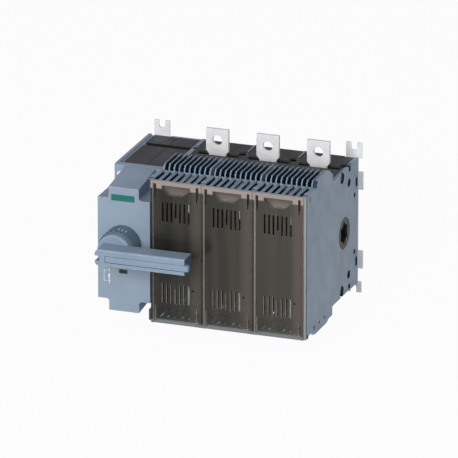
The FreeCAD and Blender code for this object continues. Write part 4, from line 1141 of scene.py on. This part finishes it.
@dataclass
class Studio:
    """A pale floor, soft lamps and the camera of the photograph."""

    azimuth: float = 19.8
    elevation: float = 19.5
    distance: float = 8.0
    frame_width: float = 0.4809
    sensor: float = 36.0
    aim: Triple = (3.3 * MM, -85.4 * MM, 4.0 * MM)
    lamps: tuple[SoftLamp, ...] = (SoftLamp("front_lamp", (-0.12, -1.8, 0.62), 0.9, 21.5),
                                   SoftLamp("side_lamp", (2.2, -1.2, 1.0), 1.2, 8.5))
    sky: Colour = (0.97, 0.98, 1.0, 1.0)
    sky_strength: float = 0.38
    floor_half: float = 3.0
    floor_drop: float = 0.2 * MM
    floor_colour: str = "D2D2D1"
    floor_patch: str = "D6D6D6"
    floor_patch_size: float = 0.3
    floor_roughness: float = 0.9
    floor_white: float = 0.955

    def build(self) -> None:
        """Sets up the floor, the lamps, the world and the camera."""
        self.floor()
        self.world()
        for lamp in self.lamps:
            lamp.hang(self.aim)
        self.camera()

    def floor(self) -> None:
        """A plain white floor that keeps the object's soft shadow."""
        height = CAD_BOX[0].z - self.floor_drop
        mesh = bmesh.new()
        bmesh.ops.create_grid(mesh, x_segments=1, y_segments=1, size=self.floor_half,
                              matrix=Matrix.Translation((0.0, 0.0, height)))
        data = bpy.data.meshes.new("studio_floor")
        mesh.to_mesh(data)
        mesh.free()
        shader = Shader("floor_paper")
        shader.set("Base Color", shader.blend(shader.noise(self.floor_patch_size),
                                              paint(self.floor_colour), paint(self.floor_patch)))
        shader.set("Roughness", self.floor_roughness)
        self.white_to_eye(shader)
        data.materials.append(shader.material)
        piece = bpy.data.objects.new("studio_floor", data)
        bpy.context.scene.collection.objects.link(piece)

    def white_to_eye(self, shader: Shader) -> None:
        """Lets the floor read as white to the camera, mirrors and glass.

        Args:
            shader: The floor's shader.
        """
        seen = shader.math("MAXIMUM", shader.ray("Is Camera Ray"), shader.ray("Is Glossy Ray"))
        seen = shader.math("MAXIMUM", seen, shader.ray("Is Transmission Ray"))
        nodes, links = shader.tree.nodes, shader.tree.links
        mix = nodes.new("ShaderNodeMixShader")
        links.new(shader.math("MULTIPLY", seen, self.floor_white), mix.inputs["Fac"])
        links.new(shader.surface.outputs[0], mix.inputs[1])
        links.new(nodes.new("ShaderNodeEmission").outputs[0], mix.inputs[2])
        links.new(mix.outputs[0], nodes["Material Output"].inputs["Surface"])

    def world(self) -> None:
        """A soft even light that reads as white behind the object."""
        world = bpy.data.worlds.new("studio_world")
        bpy.context.scene.world = world
        world.use_nodes = True
        nodes, links = world.node_tree.nodes, world.node_tree.links
        lit = nodes["Background"]
        lit.inputs["Color"].default_value = self.sky
        lit.inputs["Strength"].default_value = self.sky_strength
        seen = nodes.new("ShaderNodeBackground")
        seen.inputs["Color"].default_value = paint("FFFFFF")
        path = nodes.new("ShaderNodeLightPath")
        mix = nodes.new("ShaderNodeMixShader")
        links.new(path.outputs["Is Camera Ray"], mix.inputs["Fac"])
        links.new(lit.outputs[0], mix.inputs[1])
        links.new(seen.outputs[0], mix.inputs[2])
        links.new(mix.outputs[0], nodes["World Output"].inputs["Surface"])

    def camera(self) -> None:
        """The photograph's long-lens view."""
        data = bpy.data.cameras.new("photo_camera")
        data.sensor_width = self.sensor
        data.lens = self.sensor * self.distance / self.frame_width
        data.clip_end = 4 * self.distance
        camera = bpy.data.objects.new("photo_camera", data)
        bpy.context.scene.collection.objects.link(camera)
        turn, rise = math.radians(self.azimuth), math.radians(self.elevation)
        back = Vector((math.sin(turn) * math.cos(rise), -math.cos(turn) * math.cos(rise),
                       math.sin(rise)))
        camera.location = Vector(self.aim) + back * self.distance
        camera.rotation_mode = "QUATERNION"
        camera.rotation_quaternion = (-back).to_track_quat("-Z", "Y")
        bpy.context.scene.camera = camera


def main() -> None:
    """Builds the switch and its studio."""
    logging.basicConfig(level=logging.INFO, format="%(message)s")
    bpy.context.scene.view_settings.view_transform = "Standard"
    low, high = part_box("fuse_cover_1")
    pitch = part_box("fuse_cover_2")[0].x - low.x
    finishes = Finishes(CoverRow(low.x, pitch, high.z))
    Studio().build()
    DriveUnit(finishes).build()
    Lever(finishes).build()
    Frame(finishes).build()
    for number in range(1, POLES + 1):
        Pole(finishes, number).build()


if __name__ == "__main__":
    main()
